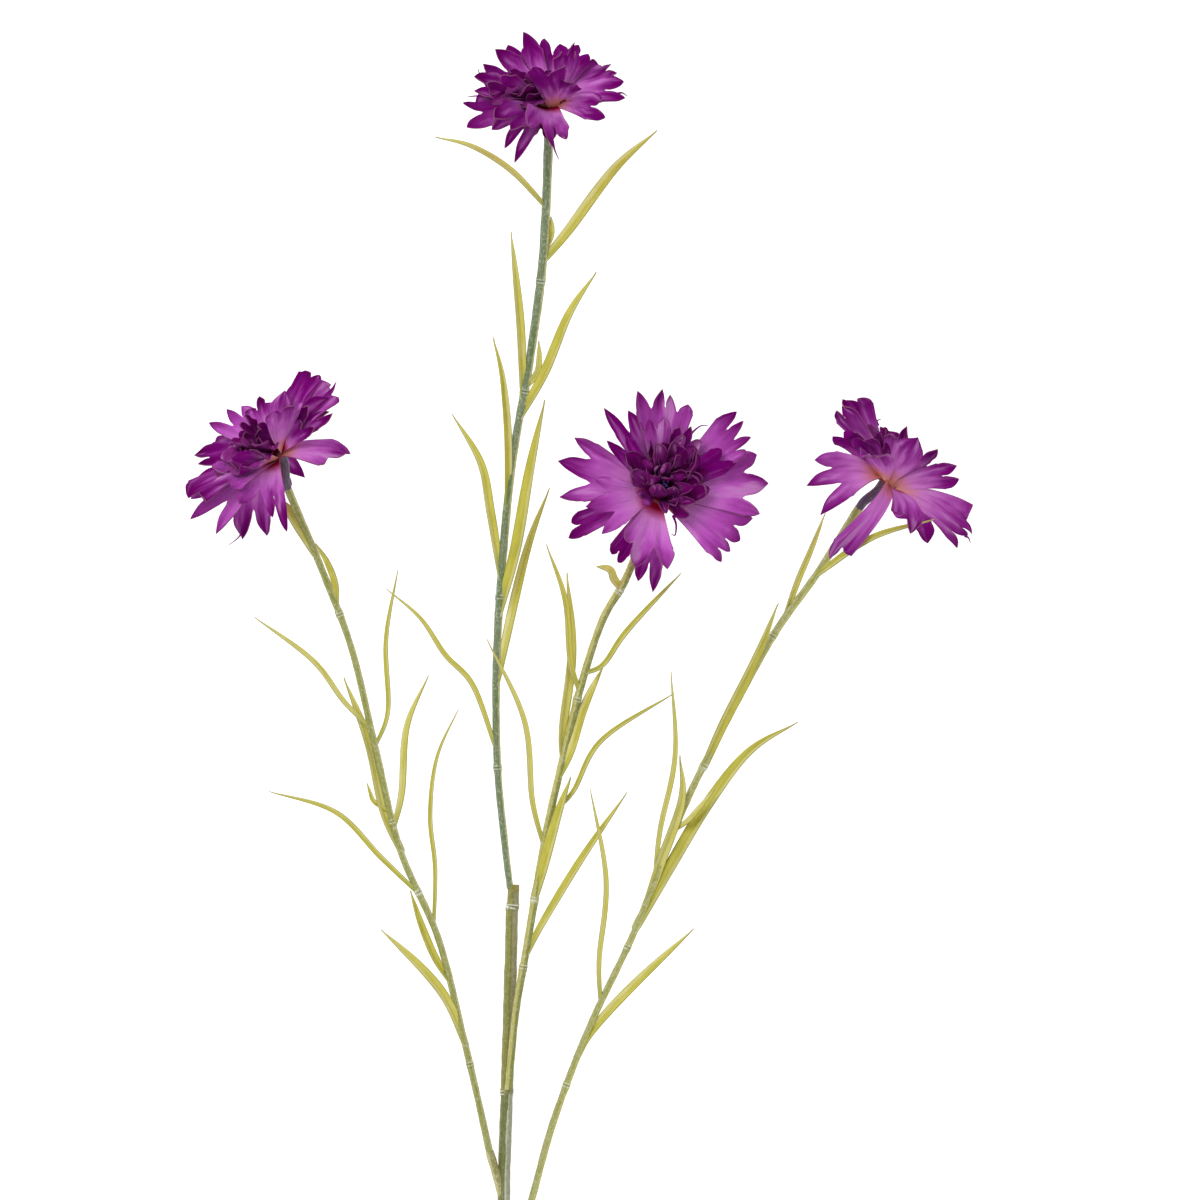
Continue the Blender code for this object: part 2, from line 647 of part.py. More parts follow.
def build_florets(head, frame, home, material):
    """The small dark florets, crowded on a core that stands on the petals' hub."""
    start = HUB_HEIGHT + GAP
    core = drum(head.name + "_florets", home, frame, start, CORE_HEIGHT, CORE_RADIUS)
    draw = random.Random(head.seed)
    blades = collection_named(head.name + "_floret_blades", helper=True)
    rise = start + CORE_HEIGHT / 2
    for row, ring in enumerate(head.rings):
        for place in range(ring.number):
            angle = 2 * pi * (place + 0.5 * row) / ring.number + draw.uniform(-FLORET_TURN, FLORET_TURN)
            lean = radians(ring.lean + (FLORET_LEAN_STEP if place % 2 else -FLORET_LEAN_STEP))
            length = ring.length * MM * draw.uniform(*FLORET_LENGTHS)
            tip = frame.place(angle, length * sin(lean), rise + length * cos(lean))
            spine = Spine(frame, rise, tip, ring.foot_radius * MM)
            name = f"{head.name}_floret_{row}_{place}"
            roll = draw.uniform(-FLORET_ROLL, FLORET_ROLL)
            petal_blade(name, blades, spine, 2, FLORET_FAN, roll, FLORET_FOOT_WIDTH, (PETAL_WAIST,))
    fuse(core, blades)
    finish(core, material)


def build_stamens(head, frame, home, material):
    """A tuft of short rods with thick tips in the middle of the florets."""
    start = HUB_HEIGHT + CORE_HEIGHT + 2 * GAP
    name = head.name + "_stamens"
    base = drum(name, home, frame, start, STAMEN_BASE_HEIGHT, STAMEN_BASE_RADIUS, taper=1, sides=8)
    rods = collection_named(head.name + "_rods", helper=True)
    for number in range(STAMEN_COUNT):
        angle = 2 * pi * number / STAMEN_COUNT
        foot = frame.place(angle, STAMEN_RING_RADIUS, start + STAMEN_BASE_HEIGHT / 2)
        top = frame.place(angle, STAMEN_RING_RADIUS + STAMEN_SPREAD, start + STAMEN_RISE)
        places = [foot, foot.lerp(top, STAMEN_NECK), top]
        tube(f"{head.name}_rod_{number}", rods, places, STAMEN_RADII, sides=4)
    fuse(base, rods)
    finish(base, material)


def main():
    clear_scene()
    spray = collection_named("cornflower_spray")
    stem_green = material_named("stem_green", STEM_GREEN, 0.6)
    leaf_green = material_named("leaf_green", LEAF_GREEN, 0.55)
    petal_purple = material_named("petal_purple", PETAL_PURPLE, 0.75)
    floret_plum = material_named("floret_plum", FLORET_PLUM, 0.8)
    calyx_slate = material_named("calyx_slate", CALYX_SLATE, 0.6)
    stamen_violet = material_named("stamen_violet", STAMEN_VIOLET, 0.5)
    build_main_stem(spray, stem_green)
    for branch, head in zip((TOP_BRANCH, LEFT_BRANCH, MIDDLE_BRANCH, RIGHT_BRANCH), HEADS):
        frame = HeadFrame(head)
        build_branch(branch, spray, leaf_green)
        build_calyx(head, frame, branch.route, spray, calyx_slate)
        build_petals(head, frame, spray, petal_purple)
        build_florets(head, frame, spray, floret_plum)
        build_stamens(head, frame, spray, stamen_violet)


main()
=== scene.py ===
# %% [markdown]
# # A cut spray of cloth cornflowers
#
# The real object is an artificial spray that lies on a white surface: a plastic stem that forks into four
# thin branches, narrow plastic leaves moulded on sleeves round them, and four heads of dyed cloth petals.
# The solids of the part are already packed, so this script starts from them and gives every one its
# finished shape and surface.

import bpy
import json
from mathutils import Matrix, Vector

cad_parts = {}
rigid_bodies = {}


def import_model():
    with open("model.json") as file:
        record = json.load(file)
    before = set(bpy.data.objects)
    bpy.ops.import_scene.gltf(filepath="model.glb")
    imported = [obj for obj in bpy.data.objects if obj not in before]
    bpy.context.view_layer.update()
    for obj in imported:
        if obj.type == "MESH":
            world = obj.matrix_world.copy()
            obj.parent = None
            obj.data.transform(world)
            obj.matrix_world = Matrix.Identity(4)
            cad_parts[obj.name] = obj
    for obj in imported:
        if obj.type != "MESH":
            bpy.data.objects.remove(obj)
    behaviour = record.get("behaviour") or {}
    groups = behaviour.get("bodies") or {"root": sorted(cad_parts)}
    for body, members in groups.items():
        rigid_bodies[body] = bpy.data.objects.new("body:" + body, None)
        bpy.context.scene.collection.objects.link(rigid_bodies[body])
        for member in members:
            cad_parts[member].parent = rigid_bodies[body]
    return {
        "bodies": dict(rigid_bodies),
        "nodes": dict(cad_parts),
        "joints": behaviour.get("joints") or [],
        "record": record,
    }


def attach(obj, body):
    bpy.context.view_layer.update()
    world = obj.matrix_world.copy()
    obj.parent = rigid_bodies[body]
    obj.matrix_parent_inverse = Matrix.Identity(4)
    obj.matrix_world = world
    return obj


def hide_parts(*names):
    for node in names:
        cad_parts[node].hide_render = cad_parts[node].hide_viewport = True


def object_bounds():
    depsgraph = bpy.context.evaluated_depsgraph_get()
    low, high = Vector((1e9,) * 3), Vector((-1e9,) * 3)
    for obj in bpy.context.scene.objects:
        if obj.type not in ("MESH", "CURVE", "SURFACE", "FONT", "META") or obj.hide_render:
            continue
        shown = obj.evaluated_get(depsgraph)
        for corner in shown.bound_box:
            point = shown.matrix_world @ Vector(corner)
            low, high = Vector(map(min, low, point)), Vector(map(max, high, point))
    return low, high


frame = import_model()
CAD_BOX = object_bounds()


def rounded(numbers, digits=4):
    return tuple(round(number, digits) for number in numbers)


print("solids loaded:", len(frame["nodes"]), "box", [rounded(corner) for corner in CAD_BOX])

# %% The modules that the lesson uses
import json
import random
from collections import namedtuple
from math import atan, atan2, cos, exp, hypot, pi, radians, sin, tan

import bmesh
import bpy
from mathutils import Vector

MM = 0.001
print("a millimetre is", MM, "m here")

# %% [markdown]
# ## The layout
#
# The spray was read off a picture taken from straight above, so a place is given as a pixel across, a pixel
# down and a height in millimetres. One pixel is 0.27 mm on the real spray. The solids were placed in the
# same way, so a petal that is made here lies close to its solid.

# %% From the picture to metres
MM_PER_PIXEL = 0.27
ORIGIN_PIXEL = (584, 828)


def spot(across, down, height):
    x = (across - ORIGIN_PIXEL[0]) * MM_PER_PIXEL
    y = (ORIGIN_PIXEL[1] - down) * MM_PER_PIXEL
    return Vector((x, y, height)) * MM


print("the picture's upper left corner is at", rounded(spot(0, 0, 0)))

# %% The main stem and its sockets
# A stem's route is a list of (pixel across, pixel down, height mm, radius mm). The sockets hold the left, the
# middle and the right branch.
MAIN_STEM = [
    (500, 1622, 1.75, 1.75), (504, 1480, 1.9, 1.75), (505, 1330, 2.0, 1.7), (504, 1200, 2.0, 1.7),
    (507, 1093, 2.0, 1.7), (511, 960, 2.0, 1.7), (513, 885, 2.0, 1.75),
]
MAIN_STEM_COLLARS = [1290, 1205, 1093, 907]
SOCKETS = [
    [(503, 1196, 2.1, 1.65), (489.5, 1152, 2.7, 1.35)],
    [(507, 1112, 2.2, 1.5), (509, 1084, 4.9, 1.25)],
    [(505, 1290, 2.1, 1.6), (522, 1232, 2.7, 1.3)],
]
print("collars:", len(MAIN_STEM_COLLARS), "sockets:", len(SOCKETS))

# %% The four branches and their leaves
# A leaf has its width in mm, its turn about its length in degrees, the picture row of its root, and its
# route.
Leaf = namedtuple("Leaf", "width tilt root_row route")
Branch = namedtuple("Branch", "name route collars leaves")

TOP_BRANCH = Branch(
    "top",
    [
        (509.6, 884, 2.4, 0.85), (505, 845, 2.9, 0.9), (497.5, 765, 3.3, 0.95), (496.5, 665, 3.6, 1.0),
        (502.5, 562, 4.6, 1.05), (512.5, 461, 6.6, 1.05), (528, 372, 9.2, 1.1), (541, 281, 12.8, 1.15),
        (546, 215, 15, 1.15), (549, 137, 16.6, 1.2),
    ],
    [768, 597, 391, 281],
    [
        Leaf(1.5, 25, 207, [(511, 171, 18), (472, 147, 20), (434, 137, 19)]),
        Leaf(2.6, -30, 262, [(570, 230, 15), (615, 170, 19), (658, 130, 24)]),
        Leaf(2.1, 30, 402, [(520, 330, 12), (515, 273, 12.5), (511, 230, 11)]),
        Leaf(2.4, -35, 418, [(546, 372, 11), (570, 314, 14), (597, 271, 16)]),
        Leaf(1.9, 40, 511, [(507, 440, 9), (502, 378, 10), (493, 336, 9)]),
        Leaf(2.2, 20, 580, [(490, 512, 5), (480, 462, 4.5), (451, 412, 3)]),
        Leaf(2.8, -40, 618, [(517, 550, 7.2), (531, 470, 9.6), (545, 398, 11.8)]),
        Leaf(2.3, -25, 686, [(517, 592, 4.4), (531, 538, 4.2), (550, 486, 2.5)]),
        Leaf(1.35, 10, 752, [(473, 686, 4.2), (445, 655, 5), (420, 618, 5.2), (384, 587, 4)]),
    ],
)
LEFT_BRANCH = Branch(
    "left",
    [
        (489, 1150, 2.65, 0.95), (478, 1100, 2.9, 0.9), (464, 1040, 3, 0.9), (438, 938, 3, 0.9),
        (400, 850, 3.2, 0.9), (376, 751, 4.2, 0.9), (352, 650, 6.6, 0.9), (323, 572, 10.4, 0.95),
        (300, 517, 14.6, 1.0), (288, 488, 21, 1.1),
    ],
    [1065, 893, 822, 614],
    [
        Leaf(2.4, 10, 556, [(300, 529, 13.4), (286, 508, 13.4), (272, 503, 11), (256, 510, 9)]),
        Leaf(1.5, -40, 606, [(336, 584, 10.6), (328, 562, 12.4), (315, 543, 14)]),
        Leaf(1.2, 15, 729, [(344, 702, 6.5), (312, 660, 9), (253, 616, 10)]),
        Leaf(1.1, -10, 747, [(388, 710, 6), (386, 640, 8.6), (398, 568, 9)]),
        Leaf(2.3, 35, 853, [(383, 812, 3.6), (368, 745, 3.4), (343, 676, 2)]),
        Leaf(1.6, -20, 828, [(402, 792, 6), (407, 727, 10), (429, 674, 12)]),
        Leaf(1.0, 5, 927, [(435, 868, 5.5), (430, 815, 7), (437, 757, 8.5), (460, 706, 9)]),
        Leaf(1.2, 10, 894, [(380, 857, 4.4), (335, 812, 6), (267, 791, 6.5)]),
        Leaf(1.7, 35, 984, [(434, 958, 2.6), (420, 924, 2.4), (410, 890, 2)]),
        Leaf(2.1, 25, 1046, [(448, 1004, 4), (424, 972, 4.6), (380, 929, 4)]),
    ],
)
MIDDLE_BRANCH = Branch(
    "middle",
    [
        (509.2, 1082, 5.0, 0.95), (516, 1012, 5.2, 0.95), (527, 947, 5.0, 1.0), (545, 840, 4.4, 1.0),
        (560, 772, 4, 1.0), (580, 690, 3.8, 1.0), (602, 622, 3.8, 1.0), (624, 583, 3.9, 1.05),
        (642, 541, 5.2, 1.1), (652, 514, 8.6, 1.15),
    ],
    [968, 900, 700, 592],
    [
        Leaf(1.9, 35, 589, [(613, 579, 6), (609, 570, 7), (596, 566, 6)]),
        Leaf(1.35, -15, 673, [(604, 664, 6.4), (628, 630, 9), (682, 572, 10.5)]),
        Leaf(2.3, -35, 778, [(571, 752, 4.8), (584, 710, 3.6), (604, 664, 1.8)]),
        Leaf(1.4, 20, 692, [(570, 660, 6.4), (565, 600, 8.6), (546, 543, 8)]),
        Leaf(2.2, 35, 762, [(562, 728, 3.4), (571, 650, 3.2), (567, 571, 2)]),
        Leaf(1.2, -10, 814, [(573, 792, 6), (602, 740, 7.5), (676, 692, 8)]),
        Leaf(1.35, 15, 846, [(532, 800, 6.4), (524, 720, 8.4), (486, 637, 9.5)]),
        Leaf(2.5, -40, 902, [(545, 866, 6), (558, 818, 7), (571, 776, 7.5)]),
        Leaf(1.8, -25, 957, [(542, 925, 5.6), (580, 862, 5.2), (628, 791, 4)]),
    ],
)
RIGHT_BRANCH = Branch(
    "right",
    [
        (522.6, 1230, 2.65, 0.9), (533, 1196, 2.9, 0.9), (554, 1121, 3.0, 0.9), (589, 1029, 3.1, 0.85),
        (636, 929, 3.2, 0.85), (683, 810, 3.6, 0.9), (725, 725, 5, 0.9), (774, 635, 8.4, 0.95),
        (817, 574, 14, 0.95), (859, 508, 21.6, 1.1),
    ],
    [1086, 948, 766, 636],
    [
        Leaf(1.4, 25, 619, [(797, 582, 10), (811, 549, 10), (826, 512, 8)]),
        Leaf(1.5, -25, 576, [(832, 564, 22), (856, 547, 29), (884, 533, 31), (935, 519, 30)]),
        Leaf(2.2, 40, 770, [(722, 724, 7), (752, 664, 10), (779, 602, 13)]),
        Leaf(2.7, -30, 932, [(672, 866, 3.4), (708, 806, 3.4), (750, 752, 4), (800, 721, 3)]),
        Leaf(1.2, -20, 831, [(689, 820, 5.6), (703, 804, 7), (716, 788, 8)]),
        Leaf(1.2, 15, 884, [(660, 830, 6.6), (675, 755, 9), (671, 669, 12)]),
        Leaf(2.2, 30, 908, [(660, 862, 4.2), (681, 800, 6), (680, 754, 7)]),
        Leaf(1.2, 10, 1003, [(599, 960, 5), (606, 880, 7.4), (590, 787, 8)]),
        Leaf(2.0, -25, 1060, [(592, 1032, 2.8), (632, 988, 3.2), (695, 928, 2.5)]),
    ],
)
BRANCHES = [TOP_BRANCH, LEFT_BRANCH, MIDDLE_BRANCH, RIGHT_BRANCH]
print("leaves:", sum(len(branch.leaves) for branch in BRANCHES))

# %% The four heads and their petals
# A head has its hub, the way it faces, how far its florets lean aside in mm, its petals and its frayed
# threads. A petal has how many mm its middle tip stands above the head's hub, how light it is from 0 to 1
# (partly its dye and partly painted shade, darker on petals that lie behind others), how far out its slits
# begin as a share of its length, where the tips of its lobes are in the picture, how wide its outer lobes
# are beside a normal one, and whether it was put in with its back up.
Petal = namedtuple("Petal", "rise tone slit tips wide turned", defaults=(1, False))
Head = namedtuple("Head", "name hub axis crown petals threads seed")

TOP_PETALS = [
    Petal(-14, 0.24, 0.72, [(527, 44), (544, 36), (560, 46)]),
    Petal(-12, 0.24, 0.68, [(507, 43), (524, 34)]),
    Petal(-6, 0.3, 0.72, [(483, 66), (495, 50)]),
    Petal(3, 0.3, 0.68, [(476, 102), (463, 105), (467, 129)]),
    Petal(2, 0.21, 0.75, [(474, 78), (475, 90)]),
    Petal(12, 0.24, 0.8, [(487, 81), (501, 79)]),
    Petal(18, 0.3, 0.75, [(494, 121), (512, 130)]),
    Petal(13, 0.21, 0.62, [(492, 131), (505, 150), (515, 163)]),
    Petal(22, 0.42, 0.6, [(528, 127), (553, 147), (564, 146)]),
    Petal(7, 0.15, 0.75, [(530, 138), (552, 144)]),
    Petal(21, 0.12, 0.84, [(534, 72), (559, 71)], 0.6),
    Petal(15, 0.36, 0.85, [(566, 83), (577, 88)], 0.8),
    Petal(6, 0.18, 0.76, [(563, 53), (571, 42), (603, 50)]),
    Petal(-6, 0.03, 0.75, [(578, 43), (588, 54)]),
    Petal(-5, 0.27, 0.78, [(601, 67), (611, 66), (617, 72)]),
    Petal(7, 0.33, 0.7, [(624, 83), (625, 99)]),
    Petal(14, 0.21, 0.72, [(603, 105), (607, 121)], 1, True),
    Petal(-21, 0.18, 0.7, [(552, 67), (562, 65), (571, 68)]),
]
LEFT_PETALS = [
    Petal(-12, 0.65, 0.68, [(208, 421), (226, 408), (242, 407)]),
    Petal(-8, 0.4, 0.8, [(250, 408), (260, 397), (271, 402)]),
    Petal(2, 0.5, 0.7, [(283, 391)], 1.3),
    Petal(15, 0.65, 0.8, [(276, 413), (292, 405), (302, 437)]),
    Petal(6, 0.1, 0.85, [(293, 408), (310, 406)]),
    Petal(9, 0.3, 0.85, [(303, 425), (316, 428)]),
    Petal(-4, 0.45, 0.78, [(300, 383), (307, 391)]),
    Petal(-1, 0.25, 0.78, [(312, 374), (317, 373)]),
    Petal(4, 0.5, 0.86, [(331, 385), (338, 384), (336, 395)]),
    Petal(8, 0.2, 0.78, [(327, 396), (329, 411), (336, 416)]),
    Petal(7, 0.6, 0.78, [(352, 452), (346, 457), (326, 464)], 1, True),
    Petal(-19, 0.3, 0.75, [(303, 476), (291, 484)]),
    Petal(14, 0.55, 0.64, [(241, 506), (273, 515), (288, 532)]),
    Petal(-7, 0.4, 0.7, [(243, 539), (267, 536)]),
    Petal(2, 0.65, 0.62, [(192, 500), (190, 519), (217, 534)]),
    Petal(7, 0.45, 0.8, [(189, 497), (200, 494)]),
    Petal(-7, 0.25, 0.75, [(194, 455), (198, 464), (196, 477)]),
    Petal(-12, 0.5, 0.75, [(210, 444), (214, 456)]),
    Petal(13, 0.6, 0.75, [(213, 472), (214, 484), (233, 488)]),
    Petal(16, 0.25, 0.8, [(237, 461), (240, 469)]),
]
MIDDLE_PETALS = [
    Petal(2, 0.6, 0.82, [(638, 391), (661, 390), (670, 395), (687, 405)]),
    Petal(7, 0.2, 0.74, [(605, 408), (629, 411)]),
    Petal(1, 0.45, 0.7, [(575, 438), (557, 461), (560, 497)]),
    Petal(9, 0.65, 0.62, [(594, 479), (586, 507), (603, 534)]),
    Petal(-2, 0.3, 0.72, [(572, 523), (567, 538)]),
    Petal(-5, 0.1, 0.78, [(611, 555), (617, 563)]),
    Petal(11, 0.6, 0.7, [(624, 539), (634, 568), (668, 569)]),
    Petal(-4, 0.35, 0.75, [(638, 581), (653, 590)]),
    Petal(6, 0.75, 0.84, [(722, 560), (730, 551), (740, 540), (751, 521)]),
    Petal(2, 0.6, 0.8, [(760, 513), (768, 484), (757, 454)]),
    Petal(4, 0.65, 0.84, [(737, 412), (744, 422), (751, 437), (745, 450)]),
    Petal(10, 0.6, 0.82, [(649, 421), (665, 418)]),
    Petal(8, 0.1, 0.8, [(680, 427), (691, 426)]),
    Petal(9, 0.25, 0.75, [(607, 441), (628, 438)]),
    Petal(7, 0.1, 0.84, [(722, 450), (735, 463)]),
]
RIGHT_PETALS = [
    Petal(-3, 0.38, 0.86, [(843, 399), (850, 398), (858, 398)]),
    Petal(5, 0.42, 0.86, [(836, 411), (841, 407)]),
    Petal(8, 0.04, 0.85, [(832, 438), (843, 434)]),
    Petal(12, 0.26, 0.85, [(853, 441), (864, 440)]),
    Petal(10, 0.47, 0.62, [(813, 461), (806, 486), (820, 515)], 1, True),
    Petal(12, 0.6, 0.88, [(828, 558), (843, 551)], 0.65, True),
    Petal(19, 0.59, 0.72, [(851, 482), (868, 453), (878, 436)]),
    Petal(-12, 0.13, 0.84, [(872, 420), (881, 426), (892, 429)]),
    Petal(12, 0.47, 0.8, [(893, 435), (905, 428)]),
    Petal(-4, 0.04, 0.8, [(909, 440), (911, 451)]),
    Petal(17, 0.51, 0.7, [(914, 441)], 1.4),
    Petal(10, 0.34, 0.8, [(921, 452), (937, 449)]),
    Petal(9, 0.38, 0.76, [(955, 468), (958, 480)]),
    Petal(-1, 0.47, 0.85, [(962, 515), (974, 531), (965, 538), (958, 547)]),
    Petal(18, 0.51, 0.75, [(902, 518), (909, 534)], 1.3),
    Petal(-8, 0.17, 0.7, [(929, 542)]),
    Petal(-17, 0.26, 0.7, [(914, 462), (925, 468), (932, 478)]),
    Petal(-21, 0.26, 0.7, [(895, 502), (905, 500), (912, 494)]),
]
# A thread is a frayed strand, as picture places with a height in mm above the head's hub.
TOP_THREADS = [
    [(553, 143, 16), (555, 152, 17), (559, 161, 16)],
    [(500, 99, 6), (484, 97, 4), (474, 97, 3), (467, 98, 3)],
    [(487, 87, 2), (481, 78, 0), (478, 69, -1)],
    [(616, 95, 7), (622, 94, 7), (627, 97, 6)],
]
LEFT_THREADS = [[(247, 517, -6), (243, 530, -7), (238, 538, -7), (229, 545, -8)]]
MIDDLE_THREADS = [
    [(690, 436, 6), (694, 431, 7), (701, 426, 6), (708, 426, 5)],
    [(673, 516, 6), (676, 525, 8), (675, 535, 6), (671, 534, 4)],
]
RIGHT_THREADS = [
    [(878, 425, -8), (877, 421, -7), (881, 419, -8)],
    [(964, 536, 0), (968, 538, 0), (970, 543, -1)],
]
HEADS = [
    Head("top", (553, 107, 21.6), (-0.30, 0.86, 0.41), (-5.5, -5, 0), TOP_PETALS, TOP_THREADS, 11),
    Head("left", (279, 456, 21.25), (-0.66, 0.55, 0.50), (-3, -4, 0), LEFT_PETALS, LEFT_THREADS, 23),
    Head("middle", (659, 495, 17), (0.12, 0.26, 0.96), (2, 4, 0), MIDDLE_PETALS, MIDDLE_THREADS, 35),
    Head("right", (884, 485, 21.55), (0.68, 0.73, -0.05), (-4, 1.5, 0), RIGHT_PETALS, RIGHT_THREADS, 47),
]
print("petals:", sum(len(head.petals) for head in HEADS))

# %% [markdown]
# ## A few helpers for modelling
#
# An operator acts on whatever is selected, and the loaded solids come in selected, so everything is
# deselected before a shape is added. Modifiers are applied, so that what is left is a plain mesh that sits
# where its vertices say.

# %% Select, apply and join
SHARP_ANGLE = radians(50)


def deselect_all():
    if bpy.context.object and bpy.context.object.mode != "OBJECT":
        bpy.ops.object.mode_set(mode="OBJECT")
    bpy.ops.object.select_all(action="DESELECT")


def select_only(things):
    deselect_all()
    for thing in things:
        thing.select_set(True)
    bpy.context.view_layer.objects.active = things[0]


def apply_modifiers(thing):
    select_only([thing])
    for modifier in list(thing.modifiers):
        bpy.ops.object.modifier_apply(modifier=modifier.name)


def joined(things, name):
    """The things as one object of that name, at the origin."""
    select_only(things)
    bpy.ops.object.join()
    made = bpy.context.object
    made.name = name
    made.data.name = name
    return made


def new_object(name, data):
    made = bpy.data.objects.new(name, data)
    bpy.context.scene.collection.objects.link(made)
    return made


def copy_of(blank, name):
    return new_object(name, blank.data.copy())


# %% Merge, thicken, coat and smooth


def merge_close(thing, distance):
    """Merges the vertices that lie within that distance of each other."""
    select_only([thing])
    bpy.ops.object.mode_set(mode="EDIT")
    bpy.ops.mesh.select_all(action="SELECT")
    bpy.ops.mesh.remove_doubles(threshold=distance)
    bpy.ops.object.mode_set(mode="OBJECT")


def thickened(thing, thickness):
    """Gives a sheet half the thickness to each side, and returns the modifier for more settings."""
    shell = thing.modifiers.new("thickness", "SOLIDIFY")
    shell.thickness = thickness
    shell.offset = 0
    return shell


def coat(thing, *materials):
    thing.data.materials.clear()
    for material in materials:
        thing.data.materials.append(material)


def smooth(thing, keep_sharp=True):
    """Shades a piece smooth, but for its sharp edges if they are kept."""
    select_only([thing])
    if keep_sharp:
        bpy.ops.object.shade_smooth_by_angle(angle=SHARP_ANGLE)
    else:
        bpy.ops.object.shade_smooth()


def set_values(mesh, name, values):
    """Gives each vertex a number that the materials can read by that name."""
    attribute = mesh.attributes.get(name) or mesh.attributes.new(name, "FLOAT", "POINT")
    attribute.data.foreach_set("value", values)


def finish_piece(thing, slot, *nodes):
    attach(thing, "root")
    if nodes:
        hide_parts(*nodes)
    print(f"{thing.name}: {sum(len(face.vertices) - 2 for face in thing.data.polygons)} triangles")


# %% Smooth routes


def blend(t, a, b, c, d):
    """A smooth blend of four neighbouring values, at t between b and c."""
    return b + 0.5 * t * (c - a + t * (2 * a - 5 * b + 4 * c - d + t * (3 * b - a - 3 * c + d)))


def smooth_route(points, count):
    """count + 1 places on a smooth curve through points, with as many between each two of them."""
    before = tuple(2 * a - b for a, b in zip(points[0], points[1]))
    after = tuple(2 * a - b for a, b in zip(points[-1], points[-2]))
    padded = [before, *points, after]
    places = []
    for step in range(count + 1):
        at = step / count * (len(points) - 1)
        span = min(int(at), len(points) - 2)
        four = padded[span : span + 4]
        places.append(tuple(blend(at - span, *numbers) for numbers in zip(*four)))
    return places


def smoothstep(low, high, value):
    t = min(1, max(0, (value - low) / (high - low)))
    return t * t * (3 - 2 * t)


print("halfway, the main stem is at", rounded(smooth_route(MAIN_STEM, 2)[1], 1))


# %% [markdown]
# ## Bending a blank along a route
#
# Stems, leaves, cups and threads are all long things that follow a line. Each is modelled once as a
# straight blank one metre long and two metres wide, and the Curve modifier lays it along a curve: the
# curve's radius at each point scales the blank to the real width there, and its tilt turns the blank about
# the line.

# %% Lay a blank along a curve


def lay_along(thing, places, radii, tilt=0, twist="Z_UP", axis="POS_Z"):
    """Bends a blank that lies along axis; tilt turns it in degrees, twist is how bends turn it."""
    path = bpy.data.curves.new("path", "CURVE")
    path.dimensions = "3D"
    path.twist_mode = twist
    path.use_stretch = True
    path.use_deform_bounds = True
    spline = path.splines.new("POLY")
    spline.points.add(len(places) - 1)
    for point, place, radius in zip(spline.points, places, radii):
        point.co = (*place, 1)
        point.radius = radius
        point.tilt = radians(tilt)
    guide = new_object("path", path)
    bend = thing.modifiers.new("bend", "CURVE")
    bend.object = guide
    bend.deform_axis = axis
    apply_modifiers(thing)
    bpy.data.objects.remove(guide)


# %% [markdown]
# ## Reading a material like a sum
#
# A procedural finish is arithmetic on a few inputs. The two small classes here let it be written that way:
# a Signal wraps a socket, so that `1 - frost * 0.5` adds the Math nodes by itself, and a Finish makes any
# other node from its type, its settings and its inputs. Dyes are written as red, green and blue from 0 to
# 255, as a picture has them, and one function turns them into the linear colours that shaders reckon with.

# %% Dyes


def linear(dye):
    """The linear colour of a dye, with a full alpha."""
    parts = [part / 255 for part in dye]
    return (*[part / 12.92 if part <= 0.04045 else ((part + 0.055) / 1.055) ** 2.4 for part in parts], 1)


def set_stops(elements, stops):
    """Gives a colour ramp its stops, each a position and the three parts of a dye."""
    while len(elements) < len(stops):
        elements.new(1)
    for element, (position, *dye) in zip(elements, stops):
        element.position = position
        element.color = linear(dye)


print("mid orchid is", rounded(linear((174, 81, 162)), 3))

# %% Signals and finishes


class Signal:
    """The output of a shader node, which can be reckoned with."""

    def __init__(self, finish, socket):
        self.finish = finish
        self.socket = socket

    def reckon(self, operation, *values):
        return self.finish.node("ShaderNodeMath", {"operation": operation}, values)

    def __add__(self, other):
        return self.reckon("ADD", self, other)

    def __sub__(self, other):
        return self.reckon("SUBTRACT", self, other)

    def __rsub__(self, other):
        return self.reckon("SUBTRACT", other, self)

    def __mul__(self, other):
        return self.reckon("MULTIPLY", self, other)

    def __abs__(self):
        return self.reckon("ABSOLUTE", self)

    __radd__ = __add__
    __rmul__ = __mul__


